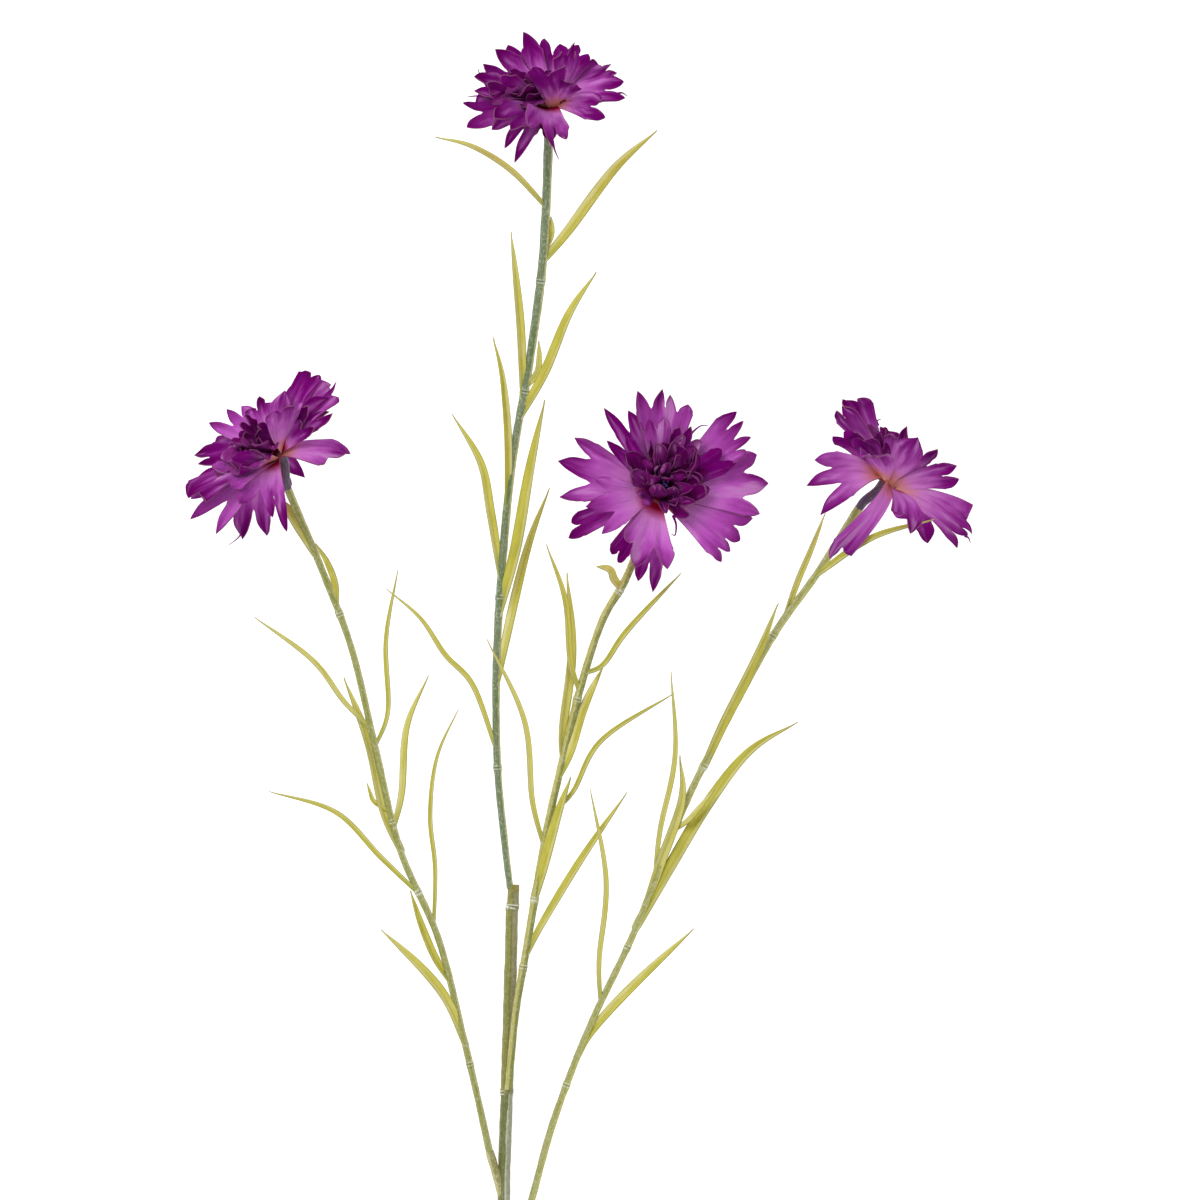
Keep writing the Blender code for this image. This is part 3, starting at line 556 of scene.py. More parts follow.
class Finish:
    """A material that is built up node by node on a Principled shader."""

    def __init__(self, name, **constants):
        self.material = bpy.data.materials.new(name)
        self.material.use_nodes = True
        self.tree = self.material.node_tree
        self.shader = self.tree.nodes["Principled BSDF"]
        for socket, value in constants.items():
            self.shader.inputs[socket.replace("_", " ")].default_value = value

    def node(self, kind, settings=None, inputs=(), output=0):
        """The output of a new node: its settings are set first, then its sockets get values or links."""
        made = self.tree.nodes.new(kind)
        for name, value in (settings or {}).items():
            if name == "stops":
                set_stops(made.color_ramp.elements, value)
            else:
                setattr(made, name, value)
        pairs = inputs.items() if isinstance(inputs, dict) else enumerate(inputs)
        for key, value in pairs:
            self.feed(made.inputs[key], value)
        return Signal(self, made.outputs[output])

    def feed(self, socket, value):
        if isinstance(value, Signal):
            self.tree.links.new(value.socket, socket)
        else:
            socket.default_value = value

    def number(self, name):
        """The number that each vertex was given under that name."""
        return self.node("ShaderNodeAttribute", {"attribute_name": name}, output="Fac")

    def vector(self, x, y, z):
        return self.node("ShaderNodeCombineXYZ", inputs=[x, y, z])

    def place(self, scale=1):
        """Where the surface is, in object coordinates times scale."""
        here = self.node("ShaderNodeTexCoord", output="Object")
        return self.node("ShaderNodeVectorMath", {"operation": "SCALE"}, {"Vector": here, "Scale": scale})

    def noise(self, vector, scale=1, detail=2):
        return self.node("ShaderNodeTexNoise", inputs={"Vector": vector, "Scale": scale, "Detail": detail})

    def step(self, value, low, high):
        """0 below low, 1 above high and smooth between."""
        settings = {"interpolation_type": "SMOOTHSTEP"}
        inputs = {"Value": value, "From Min": low, "From Max": high}
        return self.node("ShaderNodeMapRange", settings, inputs)

    def ramp(self, value, stops):
        return self.node("ShaderNodeValToRGB", {"stops": stops}, [value])

    def mix(self, share, first, second):
        """A mix of two colours or dyes, with that share of the second."""
        inputs = {0: share}
        for key, colour in ((6, first), (7, second)):
            inputs[key] = colour if isinstance(colour, Signal) else linear(colour)
        return self.node("ShaderNodeMix", {"data_type": "RGBA"}, inputs, output=2)

    def done(self, colour, height=None, bump=0.1):
        """The material, with its colour and its relief; height is in millimetres."""
        self.feed(self.shader.inputs["Base Color"], colour)
        if height is not None:
            inputs = {"Height": height, "Distance": MM, "Strength": bump}
            self.feed(self.shader.inputs["Normal"], self.node("ShaderNodeBump", inputs=inputs))
        print("finish:", self.material.name)
        return self.material


# %% [markdown]
# ## The stems' plastic
#
# The stems are moulded plastic in olive green. A bluish or greyish dusting is brushed on one side, the
# other keeps a pale rim, and fine white specks are left all over. Where one moulded sleeve ends on the next
# there are two thin chalky lines. A pattern in object coordinates would run straight through a bent stem,
# so the modelling code leaves four numbers on each vertex instead: its place across the stem, from -1 at
# the left to 1 at the right, its place along it in millimetres, its share of chalk and its distance from
# the nearest collar.

# %% Specks, chalk and collar lines
LINE_OFFSET = 0.42
SIDE_LINE = 0.45
MAIN_LINE = 0.75
STEM_ROUGHNESS = 0.62


def dusted(finish, colour, across, along, speck, line_share):
    """White specks all over, chalk where the frost number says, and two fine lines on each collar."""
    grain = finish.noise(finish.place(1500), 1, 3)
    mottle = finish.noise(finish.vector(across * 2.2, along * 0.8, 11.0), 1.5, 3)
    specks = finish.step(grain * 0.5 + mottle * 0.5, 0.47, 0.66)
    colour = finish.mix(specks * speck, colour, (208, 212, 192))
    shade = 1 - finish.step(mottle, 0.36, 0.5)
    colour = finish.mix(shade * 0.25, colour, (84, 92, 46))
    frost = finish.number("frost")
    chalk = finish.step(frost + (grain - 0.5) * 1.1 + (mottle - 0.5) * 0.6, 0.35, 0.95)
    colour = finish.mix(chalk * 0.6, colour, (226, 228, 212))
    gap = finish.number("collar_gap")
    line = 1 - finish.step(abs(gap - LINE_OFFSET), 0.08, 0.24)
    line = line * finish.step(grain + mottle, 0.7, 1.0)
    colour = finish.mix(line * line_share, colour, (232, 234, 222))
    under = 1 - finish.step(abs(gap), 0.1, 0.28)
    colour = finish.mix(under * 0.35, colour, (84, 90, 52))
    return finish.done(colour, height=grain * 0.6 + mottle, bump=0.16)


# %% The branches' and sockets' finishes
# Three dyes, then the side that the pale rim is on, how far out it begins, and the share of specks.
StemDyes = namedtuple("StemDyes", "name core deep rim rim_side rim_edge speck")


def stem_colour(finish, dyes, across, along, streaks):
    """A brushed core with deeper green patches along it, and a pale rim on one side."""
    patches = finish.noise(finish.vector(across * 0.5, along * 0.05, 3.0), 1, 2)
    green = finish.step(patches, 0.48, 0.6) * (1 - finish.step(abs(across - 0.1), 0.3, 0.7))
    colour = finish.mix(green * 0.8, dyes.core, dyes.deep)
    waver = across * dyes.rim_side + (streaks - 0.5) * 0.6 + (patches - 0.5) * 0.5
    rim = finish.step(waver, dyes.rim_edge - 0.14, dyes.rim_edge + 0.14)
    return finish.mix(rim * 0.85, colour, dyes.rim)


def stem_finish(dyes):
    finish = Finish(dyes.name, Roughness=STEM_ROUGHNESS)
    across = finish.number("stem_across")
    along = finish.number("stem_along")
    streaks = finish.noise(finish.vector(across * 3.4, along * 0.12, 0.0), 1.6, 3)
    colour = stem_colour(finish, dyes, across, along, streaks)
    colour = finish.mix(finish.step(streaks, 0.55, 0.72) * 0.35, colour, (92, 100, 56))
    return dusted(finish, colour, across, along, dyes.speck, SIDE_LINE)


STEM_DYES = {
    "top": StemDyes("tall_stem_plastic", (112, 127, 92), (88, 114, 58), (198, 194, 134), 1, 0.55, 0.36),
    "left": StemDyes("left_stem_plastic", (154, 156, 82), (136, 140, 44), (198, 192, 140), 1, 0.5, 0.34),
    "middle": StemDyes("middle_stem_plastic", (142, 144, 72), (124, 130, 40), (194, 186, 106), -1, 0.05, 0.3),
    "right": StemDyes("right_stem_plastic", (166, 166, 100), (152, 154, 58), (194, 190, 104), 1, 0.3, 0.36),
    "socket": StemDyes("socket_plastic", (150, 144, 86), (134, 124, 48), (198, 190, 130), -1, 0.35, 0.5),
}
STEM_PLASTICS = {part: stem_finish(dyes) for part, dyes in STEM_DYES.items()}

# %% The main stem's finish
# Below the row where the moulding steps in, a pale line runs between a dark side and a grey one. The mouth
# that the tall branch stands in is darker.
STEP_ALONG = (ORIGIN_PIXEL[1] - MAIN_STEM_COLLARS[2]) * MM_PER_PIXEL
MOUTH_ROW = 893
MOUTH_ALONG = (ORIGIN_PIXEL[1] - MOUTH_ROW) * MM_PER_PIXEL


def main_stem_finish():
    finish = Finish("main_stem_plastic", Roughness=STEM_ROUGHNESS)
    across = finish.number("stem_across")
    along = finish.number("stem_along")
    streaks = finish.noise(finish.vector(across * 3.0, along * 0.1, 7.0), 1.6, 3)
    waver = across + (streaks - 0.5) * 0.5
    side = finish.step(waver, 0.0, 0.3)
    upper = finish.mix(side, (134, 132, 56), (146, 140, 104))
    lower = finish.mix(side, (108, 114, 56), (158, 158, 132))
    pale = 1 - finish.step(abs(waver - 0.18), 0.06, 0.18)
    lower = finish.mix(pale * 0.7, lower, (200, 204, 182))
    groove = 1 - finish.step(abs(waver + 0.05), 0.05, 0.2)
    upper = finish.mix(groove * 0.5, upper, (84, 92, 44))
    colour = finish.mix(finish.step(along, STEP_ALONG - 0.5, STEP_ALONG + 0.5), lower, upper)
    rims = finish.step(abs(waver), 0.75, 0.95)
    colour = finish.mix(rims * 0.5, colour, (150, 144, 104))
    mouth = finish.step(along, MOUTH_ALONG - 0.6, MOUTH_ALONG + 0.6)
    colour = finish.mix(mouth * 0.7, colour, (140, 126, 44))
    return dusted(finish, colour, across, along, 0.16, MAIN_LINE)


MAIN_STEM_PLASTIC = main_stem_finish()

# %% [markdown]
# ## Stems
#
# A stem is a cylinder. Subdividing its long edges gives it rings, a few shallow ridges are pulled out along
# it, and the Curve modifier lays it along its route. The subdivide operator makes at most 100 cuts, so it's
# used twice. The collars, where one moulded sleeve ends on the next, come from the route's radius: two fine
# lips on a low swelling.

# %% A rod to make stems from
ROD_SIDES = 16


def rod_blank(per_pass):
    """A rod one metre long along Z and one metre in radius, of per_pass squared lengths."""
    deselect_all()
    bpy.ops.mesh.primitive_cylinder_add(vertices=ROD_SIDES, radius=1, depth=1, location=(0, 0, 0.5))
    rod = bpy.context.object
    bpy.ops.object.transform_apply(location=True)
    bpy.ops.object.mode_set(mode="EDIT")
    bpy.ops.mesh.select_all(action="DESELECT")
    for length in (1, 1 / per_pass):
        work = bmesh.from_edit_mesh(rod.data)
        for edge in work.edges:
            edge.select = abs(edge.verts[0].co.z - edge.verts[1].co.z) > length / 2
        bmesh.update_edit_mesh(rod.data)
        bpy.ops.mesh.subdivide(number_cuts=per_pass - 1)
    bpy.ops.object.mode_set(mode="OBJECT")
    return rod


def pull_ridges(rod, ridges, depth):
    """Pulls shallow ridges out along a rod and notes where each vertex lies across it."""
    across = []
    for vertex in rod.data.vertices:
        reach = hypot(vertex.co.x, vertex.co.y)
        angle = 0 if reach < 0.5 else Vector((1, 0)).angle_signed(vertex.co.xy)
        across.append(-vertex.co.x)
        swell = 1 + depth * cos(ridges * angle)
        vertex.co.x *= swell
        vertex.co.y *= swell
    set_values(rod.data, "stem_across", across)


# %% Collars, chalk and unevenness along a route
COLLAR_SWELL = 0.08
COLLAR_REACH = 1.3
COLLAR_CREST = 0.6
LIP_HEIGHT = 0.13
LIP_WIDTH = 0.22
DUST_REACH = 1.5
DUST_SHARE = 0.3
ROOT_REACH = 1.4
ROOT_SHARE = 0.42
NO_COLLAR = 9
WOBBLE = 0.035


def bump_at(distance, width):
    return exp(-((distance / width) ** 2))


def collar_profile(distance):
    """How many mm a collar adds to the radius, at a distance in mm from its middle."""
    swelling = COLLAR_SWELL * (1 - smoothstep(COLLAR_REACH * COLLAR_CREST, COLLAR_REACH, abs(distance)))
    return swelling + LIP_HEIGHT * sum(bump_at(distance - side * LINE_OFFSET, LIP_WIDTH) for side in (-1, 1))


def frost_at(row, collars, roots):
    """How chalky a stem is at a row of the picture, near its collars and leaf roots."""
    frost = DUST_SHARE * sum(bump_at((row - collar) * MM_PER_PIXEL, DUST_REACH) for collar in collars)
    frost += ROOT_SHARE * sum(bump_at((row - root) * MM_PER_PIXEL, ROOT_REACH) for root in roots)
    return min(1, frost)


def collar_gap_at(row, collars):
    """How many mm a row of the picture is from the nearest collar."""
    return min([abs(row - collar) * MM_PER_PIXEL for collar in collars], default=NO_COLLAR)


def wobble_at(row):
    """The share by which hand work and heat have left a stem thicker or thinner at a row of the picture."""
    return 1 + WOBBLE * (sin(row * 0.13) * sin(row * 0.047) + 0.5 * sin(row * 0.37))


print("a collar's lip stands out by", round(collar_profile(LINE_OFFSET), 2), "mm")

# %% Even steps along a route


def reaches(places):
    """How many metres along a route each of its places is."""
    found = [0]
    for a, b in zip(places, places[1:]):
        found.append(found[-1] + (spot(*b[:3]) - spot(*a[:3])).length)
    return found


def evened(places, count):
    """The same route with count + 1 places at even steps of its length."""
    reach = reaches(places)
    even, at = [], 0
    for step in range(count + 1):
        goal = reach[-1] * step / count
        while at < len(places) - 2 and reach[at + 1] < goal:
            at += 1
        share = (goal - reach[at]) / (reach[at + 1] - reach[at])
        even.append(tuple(a + (b - a) * share for a, b in zip(places[at], places[at + 1])))
    return even


# %% One stem
RING_SPACING = 0.28 * MM
ROUTE_STEPS = 1200
STEM_RIDGES = 5
STEM_RIDGE_DEPTH = 0.05


def stem_piece(name, route, collars, roots, material):
    """A stem along its route, with what its finish needs to know on its vertices."""
    fine = smooth_route(route, ROUTE_STEPS)
    per_pass = round((reaches(fine)[-1] / RING_SPACING) ** 0.5)
    rings = per_pass**2
    places = evened(fine, rings)
    radii = []
    for place in places:
        extra = sum(collar_profile((place[1] - collar) * MM_PER_PIXEL) for collar in collars)
        radii.append((place[3] * wobble_at(place[1]) + extra) * MM)
    rod = rod_blank(per_pass)
    pull_ridges(rod, STEM_RIDGES, STEM_RIDGE_DEPTH)
    steps = [round(vertex.co.z * rings) for vertex in rod.data.vertices]
    lay_along(rod, [spot(*place[:3]) for place in places], radii)
    at_rings = {
        "frost": [frost_at(place[1], collars, roots) for place in places],
        "collar_gap": [collar_gap_at(place[1], collars) for place in places],
        "stem_along": [(ORIGIN_PIXEL[1] - place[1]) * MM_PER_PIXEL for place in places],
    }
    for attribute, values in at_rings.items():
        set_values(rod.data, attribute, [values[step] for step in steps])
    coat(rod, material)
    smooth(rod)
    rod.name = name
    return rod


# %% The main stem
# Its top is a sleeve that the tall branch stands in, a little narrower than the rod below it.
SLEEVE = [(512, 914, 2.0, 1.66), (512.4, 908.5, 2.0, 1.66), (513, 905, 2.0, 1.56), (513.8, 885, 2.0, 1.58)]
SOCKET_SLIMNESS = 0.84
UPRIGHT_SOCKET = 1


def resized(route, share):
    return [(*place[:3], place[3] * share) for place in route]


whole_route = [*MAIN_STEM[:-1], *SLEEVE]
left_fork = SOCKETS[0][0][1]
main_parts = [stem_piece("main_rod", whole_route, MAIN_STEM_COLLARS, [left_fork], MAIN_STEM_PLASTIC)]
for number, socket in enumerate(SOCKETS):
    upright = number == UPRIGHT_SOCKET
    plastic = MAIN_STEM_PLASTIC if upright else STEM_PLASTICS["socket"]
    slim = resized(socket, SOCKET_SLIMNESS)
    roots = [] if upright else [socket[1][1], socket[0][1]]
    main_parts.append(stem_piece(f"socket_{number}", slim, [], roots, plastic))
finish_piece(joined(main_parts, "main_stem_rod"), "stem_green", "main_stem")

# %% The four branches' stems
# A branch's foot reaches a little way into the socket that holds it.
FOOT_SHARE = 0.12
STEM_BREADTHS = {"top": 1.06, "left": 1.03, "middle": 1.03, "right": 1.09}


def sunk_foot(route):
    first, second = route[0], route[1]
    return tuple(a + (a - b) * FOOT_SHARE for a, b in zip(first[:3], second[:3])) + (first[3],)


for branch in BRANCHES:
    roots = [leaf.root_row for leaf in branch.leaves]
    route = resized([sunk_foot(branch.route), *branch.route], STEM_BREADTHS[branch.name])
    stem = stem_piece(f"{branch.name}_stem", route, branch.collars, roots, STEM_PLASTICS[branch.name])
    finish_piece(stem, "leaf_green", f"{branch.name}_branch")

# %% [markdown]
# ## Leaves
#
# The leaves are one moulding with the stem's sleeves: long, narrow and channelled, with a soft rounded
# edge. One flat leaf is made from a grid, narrowed to its outline and folded along its rib. Every leaf is a
# copy of it that is bent along its own route and then thickened, so that a broad leaf isn't thicker than a
# narrow one.

# %% The leaves' plastic


def leaf_finish():
    finish = Finish("leaf_plastic", Roughness=0.55)
    across = finish.number("leaf_across")
    along = finish.number("leaf_along")
    tone = finish.number("leaf_tone")
    streaks = finish.noise(finish.vector(across * 4.5, along * 4, tone * 30), 1.3, 3)
    patches = finish.noise(finish.vector(across * 0.8, along * 8, tone * 17), 1, 3)
    colour = finish.ramp(
        patches * 0.8 + tone * 0.5 - 0.15,
        [(0.1, 162, 158, 48), (0.35, 186, 179, 56), (0.6, 202, 193, 80), (0.9, 212, 206, 122)],
    )
    side = finish.step(tone, 0.45, 0.55) * 2 - 1
    half = finish.step(across * side + (streaks - 0.5) * 0.7 + (patches - 0.5) * 0.6, 0.1, 0.6)
    colour = finish.mix(half * 0.4, colour, (230, 224, 176))
    line = finish.step(streaks, 0.54, 0.7)
    colour = finish.mix(line * 0.45, colour, (168, 160, 44))
    rib = 1 - finish.step(abs(across + (streaks - 0.5) * 0.25), 0.05, 0.22)
    colour = finish.mix(rib * 0.3, colour, (160, 154, 36))
    edge = finish.step(abs(across) + (streaks - 0.5) * 0.4, 0.82, 1.0)
    colour = finish.mix(edge * 0.6, colour, (142, 142, 66))
    tip = finish.step(along + (streaks - 0.5) * 0.15, 0.9, 1.0)
    colour = finish.mix(tip * 0.5, colour, (170, 150, 84))
    root = 1 - finish.step(along + (streaks - 0.5) * 0.08, 0.02, 0.2)
    colour = finish.mix(root * 0.45, colour, (146, 154, 70))
    chalk = 1 - finish.step(along + (streaks - 0.5) * 0.03, 0.01, 0.04)
    colour = finish.mix(chalk * 0.35, colour, (222, 222, 200))
    return finish.done(colour, height=streaks, bump=0.2)


LEAF_PLASTIC = leaf_finish()

# %% One flat leaf
LEAF_FOLD = 0.45
LEAF_ROWS = 44
LEAF_COLUMNS = 6


def leaf_half_width(along):
    """Share of the leaf's half width: a narrower foot, widest a third of the way up, drawn out to a point."""
    body = 0.7 + 1.42 * along - 1.32 * along**2 - 0.7 * along**3
    return max(body, 0.02) * (1 - along**14)


def leaf_blank():
    deselect_all()
    bpy.ops.mesh.primitive_grid_add(x_subdivisions=LEAF_ROWS, y_subdivisions=LEAF_COLUMNS, size=1)
    blank = bpy.context.object
    across, along = [], []
    for vertex in blank.data.vertices:
        share, side = vertex.co.x + 0.5, vertex.co.y * 2
        across.append(side)
        along.append(share)
        width = leaf_half_width(share)
        vertex.co = (share, side * width, LEAF_FOLD * width * abs(side) ** 1.4)
    set_values(blank.data, "leaf_across", across)
    set_values(blank.data, "leaf_along", along)
    merge_close(blank, MM)
    coat(blank, LEAF_PLASTIC)
    return blank


LEAF_BLANK = leaf_blank()
print("flat leaf:", len(LEAF_BLANK.data.polygons), "faces")

# %% Every leaf in its place
LEAF_THICKNESS = 0.5 * MM
AXIS_STEPS = 400
LEAF_BREADTHS = {"top": 1.07, "left": 1.18, "middle": 1.13, "right": 1.2}
EXTRA_LEAVES = {
    "top": [
        Leaf(1.6, 20, 387, [(537, 372, 10), (539, 356, 10.5), (539, 340, 10)]),
        Leaf(1.5, 0, 250, [(549.5, 240, 13.2), (552, 230, 14.2), (551, 216, 15)]),
    ],
    "left": [Leaf(1.0, 20, 812, [(374, 802, 4), (370, 793, 4), (367, 783, 3.6)])],
}


def on_stem(route, row):
    """The place on a stem's axis at a row of the picture."""
    return min(smooth_route(route, AXIS_STEPS), key=lambda place: abs(place[1] - row))[:3]


def leaf_piece(leaf, stem_route, tone, breadth):
    """A leaf that grows from its stem's axis, with its own tone, and widened by breadth."""
    route = [on_stem(stem_route, leaf.root_row), *leaf.route]
    places = [spot(*place) for place in smooth_route(route, LEAF_ROWS)]
    half_width = leaf.width * MM / 2 / cos(radians(leaf.tilt)) * breadth
    blade = copy_of(LEAF_BLANK, "leaf")
    lay_along(blade, places, [half_width] * len(places), tilt=leaf.tilt, axis="POS_X")
    set_values(blade.data, "leaf_tone", [tone] * len(blade.data.vertices))
    thickened(blade, LEAF_THICKNESS)
    rounding = blade.modifiers.new("rounding", "SUBSURF")
    rounding.levels = 1
    rounding.render_levels = 1
    apply_modifiers(blade)
    smooth(blade, keep_sharp=False)
    return blade


for branch in BRANCHES:
    draw = random.Random(len(branch.leaves) + branch.leaves[0].root_row)
    leaves = [*branch.leaves, *EXTRA_LEAVES.get(branch.name, [])]
    breadth = LEAF_BREADTHS[branch.name]
    blades = [leaf_piece(leaf, branch.route, draw.random(), breadth) for leaf in leaves]
    finish_piece(joined(blades, f"{branch.name}_leaves"), "leaf_green")
bpy.data.objects.remove(LEAF_BLANK)

# %% [markdown]
# ## Cups under the heads
#
# Between each stem and its petals sits a slim dark cup with fine ribs and a dusty bloom. It is the same rod
# as the stems, with more and finer ridges, and its line bends from the stem's direction into the head's.

# %% The cups' plastic


def calyx_finish():
    finish = Finish("calyx_plastic", Roughness=0.65)
    across = finish.number("stem_across")
    along = finish.number("stem_along")
    streaks = finish.noise(finish.vector(across * 5, along * 0.25, 0.0), 1.5, 3)
    grain = finish.noise(finish.place(1500), 1, 2)
    colour = finish.mix(finish.step(streaks, 0.35, 0.7), (70, 58, 72), (112, 102, 120))
    colour = finish.mix(finish.step(grain, 0.5, 0.85) * 0.4, colour, (150, 140, 156))
    return finish.done(colour, height=streaks + grain * 0.5, bump=0.2)


CALYX_PLASTIC = calyx_finish()

# %% A short rod to make cups and threads from
SHORT_PER_PASS = 5
SHORT_RINGS = SHORT_PER_PASS**2
SHORT_ROD = rod_blank(SHORT_PER_PASS)
print("short rod:", len(SHORT_ROD.data.polygons), "faces")

# %% Four cups
# The radii are in mm, from the stem to the petals, at even steps. A short straight stub begins and ends the
# line.
CALYX_RADII = [1.12, 1.2, 1.24, 1.26, 1.32, 1.5, 1.8]
CALYX_STUB = 0.8 * MM
CALYX_RIDGES = 8
CALYX_RIDGE_DEPTH = 0.04
END_STEPS = 60


def calyx_piece(head, stem_route):
    """A cup whose line leaves the stem in the stem's direction and meets the head in the head's."""
    before, stem_end = (spot(*place[:3]) for place in smooth_route(stem_route, END_STEPS)[-2:])
    start_way = (stem_end - before).normalized()
    axis = Vector(head.axis).normalized()
    start, end = stem_end, spot(*head.hub)
    low, high = start + start_way * CALYX_STUB, end - axis * CALYX_STUB
    reach = (high - low).length / 3
    first, second = low + start_way * reach, high - axis * reach
    places = []
    for step in range(SHORT_RINGS + 1):
        t = step / SHORT_RINGS
        s = 1 - t
        places.append(low * s**3 + first * 3 * t * s**2 + second * 3 * t**2 * s + high * t**3)
    places = [start, *places, end]
    radii = [width[0] * MM for width in smooth_route([(radius,) for radius in CALYX_RADII], len(places) - 1)]
    rod = copy_of(SHORT_ROD, f"{head.name}_cup")
    pull_ridges(rod, CALYX_RIDGES, CALYX_RIDGE_DEPTH)
    lengths = [vertex.co.z * (end - start).length / MM for vertex in rod.data.vertices]
    lay_along(rod, places, radii, twist="MINIMUM")
    set_values(rod.data, "stem_along", lengths)
    coat(rod, CALYX_PLASTIC)
    smooth(rod)
    return rod


for branch, head in zip(BRANCHES, HEADS):
    finish_piece(calyx_piece(head, branch.route), "calyx_slate", f"{head.name}_calyx")

# %% [markdown]
# ## Petal cloth
#
# The petals are stamped from dyed cloth and then airbrushed: orchid over most of the blade, deep purple at
# the pointed lobes, dark red where they meet on the upper side and a peach tone on the back of their feet.
# Fine veins were pressed in lengthwise. The stamped edge shows as a thin dull line, because the cloth is
# cut through there. So a petal has three finishes: its face, its back and its cut edge.

# %% Petal finishes
VEIN_DARK = (92, 4, 86)
RIM_TONE = (110, 26, 88)
# The pale colour below is a painted sheen highlight.
PAINTED_SHEEN_TONE = (226, 184, 220)


def petal_veins(finish, along, across, tone):
    """Fine pressed veins that fan out along the petal, from 0 to 1."""
    fine = finish.noise(finish.vector(along * 1.5, across * 26, tone * 40), 1, 3)
    coarse = finish.noise(finish.vector(along * 1.1, across * 9, tone * 23), 1, 2)
    return fine * 0.6 + coarse * 0.4


def petal_finish(name, pale_stops, deep_stops, shift=0):
    """Cloth between a pale and a deep dye; shift moves the balance towards the pale one."""
    finish = Finish(name, Roughness=0.8, Specular_IOR_Level=0.03)
    along = finish.number("petal_along")
    across = finish.number("petal_across")
    tone = finish.number("petal_tone")
    edge = finish.number("petal_edge")
    veins = petal_veins(finish, along, across, tone)
    patches = finish.noise(finish.vector(along * 2.6, across * 2.4, tone * 31), 1, 2)
    # A low tone leans the mix to the deep dye; the tones are partly dye and partly painted shade on petals
    # behind others.
    balance = tone * 0.85 - along * 1.1 + (patches - 0.5) * 1.25 + (veins - 0.5) * 0.6 + (0.84 + shift)
    pale = finish.ramp(along, pale_stops)
    deep = finish.ramp(along, deep_stops)
    colour = finish.mix(finish.step(balance, 0.0, 0.85), deep, pale)
    dark = finish.step(veins, 0.5, 0.7) * finish.step(along, 0.12, 0.4)
    colour = finish.mix(dark * 0.3, colour, VEIN_DARK)
    # Painted highlight: pale patches, stronger on lighter petals, stand in for the sheen of light on the
    # cloth.
    painted_sheen = finish.step(patches * 0.85 + veins * 0.15, 0.55, 0.72) * finish.step(along, 0.15, 0.5)
    colour = finish.mix(painted_sheen * (tone * 0.42 + 0.03), colour, PAINTED_SHEEN_TONE)
    rim = finish.step(edge, 0.7, 1.0)
    colour = finish.mix(rim * 0.5, colour, RIM_TONE)
    weave = finish.noise(finish.place(2600), 1, 2)
    return finish.done(colour, height=veins * 0.8 + weave * 0.25, bump=0.4)


PETAL_FACE = petal_finish(
    "petal_face",
    [
        (0.03, 128, 0, 24), (0.12, 160, 14, 58), (0.19, 200, 84, 144), (0.3, 220, 136, 212),
        (0.46, 208, 118, 208), (0.68, 188, 86, 188), (1.0, 156, 56, 154),
    ],
    [
        (0.03, 104, 0, 16), (0.14, 122, 0, 56), (0.28, 134, 6, 126), (0.6, 124, 0, 118), (1.0, 102, 0, 94),
    ],
)
PETAL_BACK = petal_finish(
    "petal_back",
    [
        (0.05, 222, 150, 124), (0.18, 220, 140, 158), (0.34, 214, 130, 208), (0.6, 200, 106, 200),
        (1.0, 164, 66, 164),
    ],
    [
        (0.05, 176, 92, 84), (0.18, 150, 52, 92), (0.34, 140, 22, 132), (0.65, 130, 8, 124),
        (1.0, 108, 4, 102),
    ],
    -0.06,
)


def plain_cloth(name, colour, second):
    """Cut cloth edges: one colour with a little of a second one in it."""
    finish = Finish(name, Roughness=0.85)
    mottle = finish.noise(finish.place(1200), 1, 2)
    return finish.done(finish.mix(mottle, colour, second))


PETAL_EDGE = plain_cloth("petal_edge", (112, 40, 88), (142, 82, 114))

# %% [markdown]
# ## Stamping a petal
#
# A petal is cut from flat cloth. So the blank starts as a grid, and slits are cut into it between the lobes
# with the edge split operator, as scissors would. Then every vertex of the blank is moved to its place on
# the petal's outline: below the slits the blank narrows to its foot, and above them each strip becomes a
# pointed lobe.

# %% A grid with slits
PETAL_ROWS = 30
LOBE_COLUMNS = 10
TINY = 1e-4


def slit_blank(lobes):
    """A flat square grid, slit from its middle to one side between the lobes."""
    deselect_all()
    bpy.ops.mesh.primitive_grid_add(x_subdivisions=PETAL_ROWS, y_subdivisions=LOBE_COLUMNS * lobes, size=1)
    blank = bpy.context.object
    bpy.ops.object.mode_set(mode="EDIT")
    bpy.ops.mesh.select_mode(type="EDGE")
    bpy.ops.mesh.select_all(action="DESELECT")
    work = bmesh.from_edit_mesh(blank.data)
    slits = [number / lobes - 0.5 for number in range(1, lobes)]
    for edge in work.edges:
        start, end = (vertex.co for vertex in edge.verts)
        on_slit = any(abs(start.y - slit) + abs(end.y - slit) < TINY for slit in slits)
        edge.select = on_slit and min(start.x, end.x) > -TINY
    bmesh.update_edit_mesh(blank.data)
    bpy.ops.mesh.edge_split(type="EDGE")
    bpy.ops.object.mode_set(mode="OBJECT")
    return blank


def lobe_of_vertices(blank, lobes):
    """The number of the lobe that each vertex belongs to, judged by the faces round it."""
    sums = [[0, 0] for _ in blank.data.vertices]
    for face in blank.data.polygons:
        for index in face.vertices:
            sums[index][0] += face.center.y
            sums[index][1] += 1
    return [min(lobes - 1, max(0, int((total / count + 0.5) * lobes))) for total, count in sums]


PETAL_BLANKS = {lobes: slit_blank(lobes) for lobes in (1, 2, 3, 4)}
for lobes, blank in PETAL_BLANKS.items():
    print(lobes, "lobes:", len(blank.data.polygons), "faces")

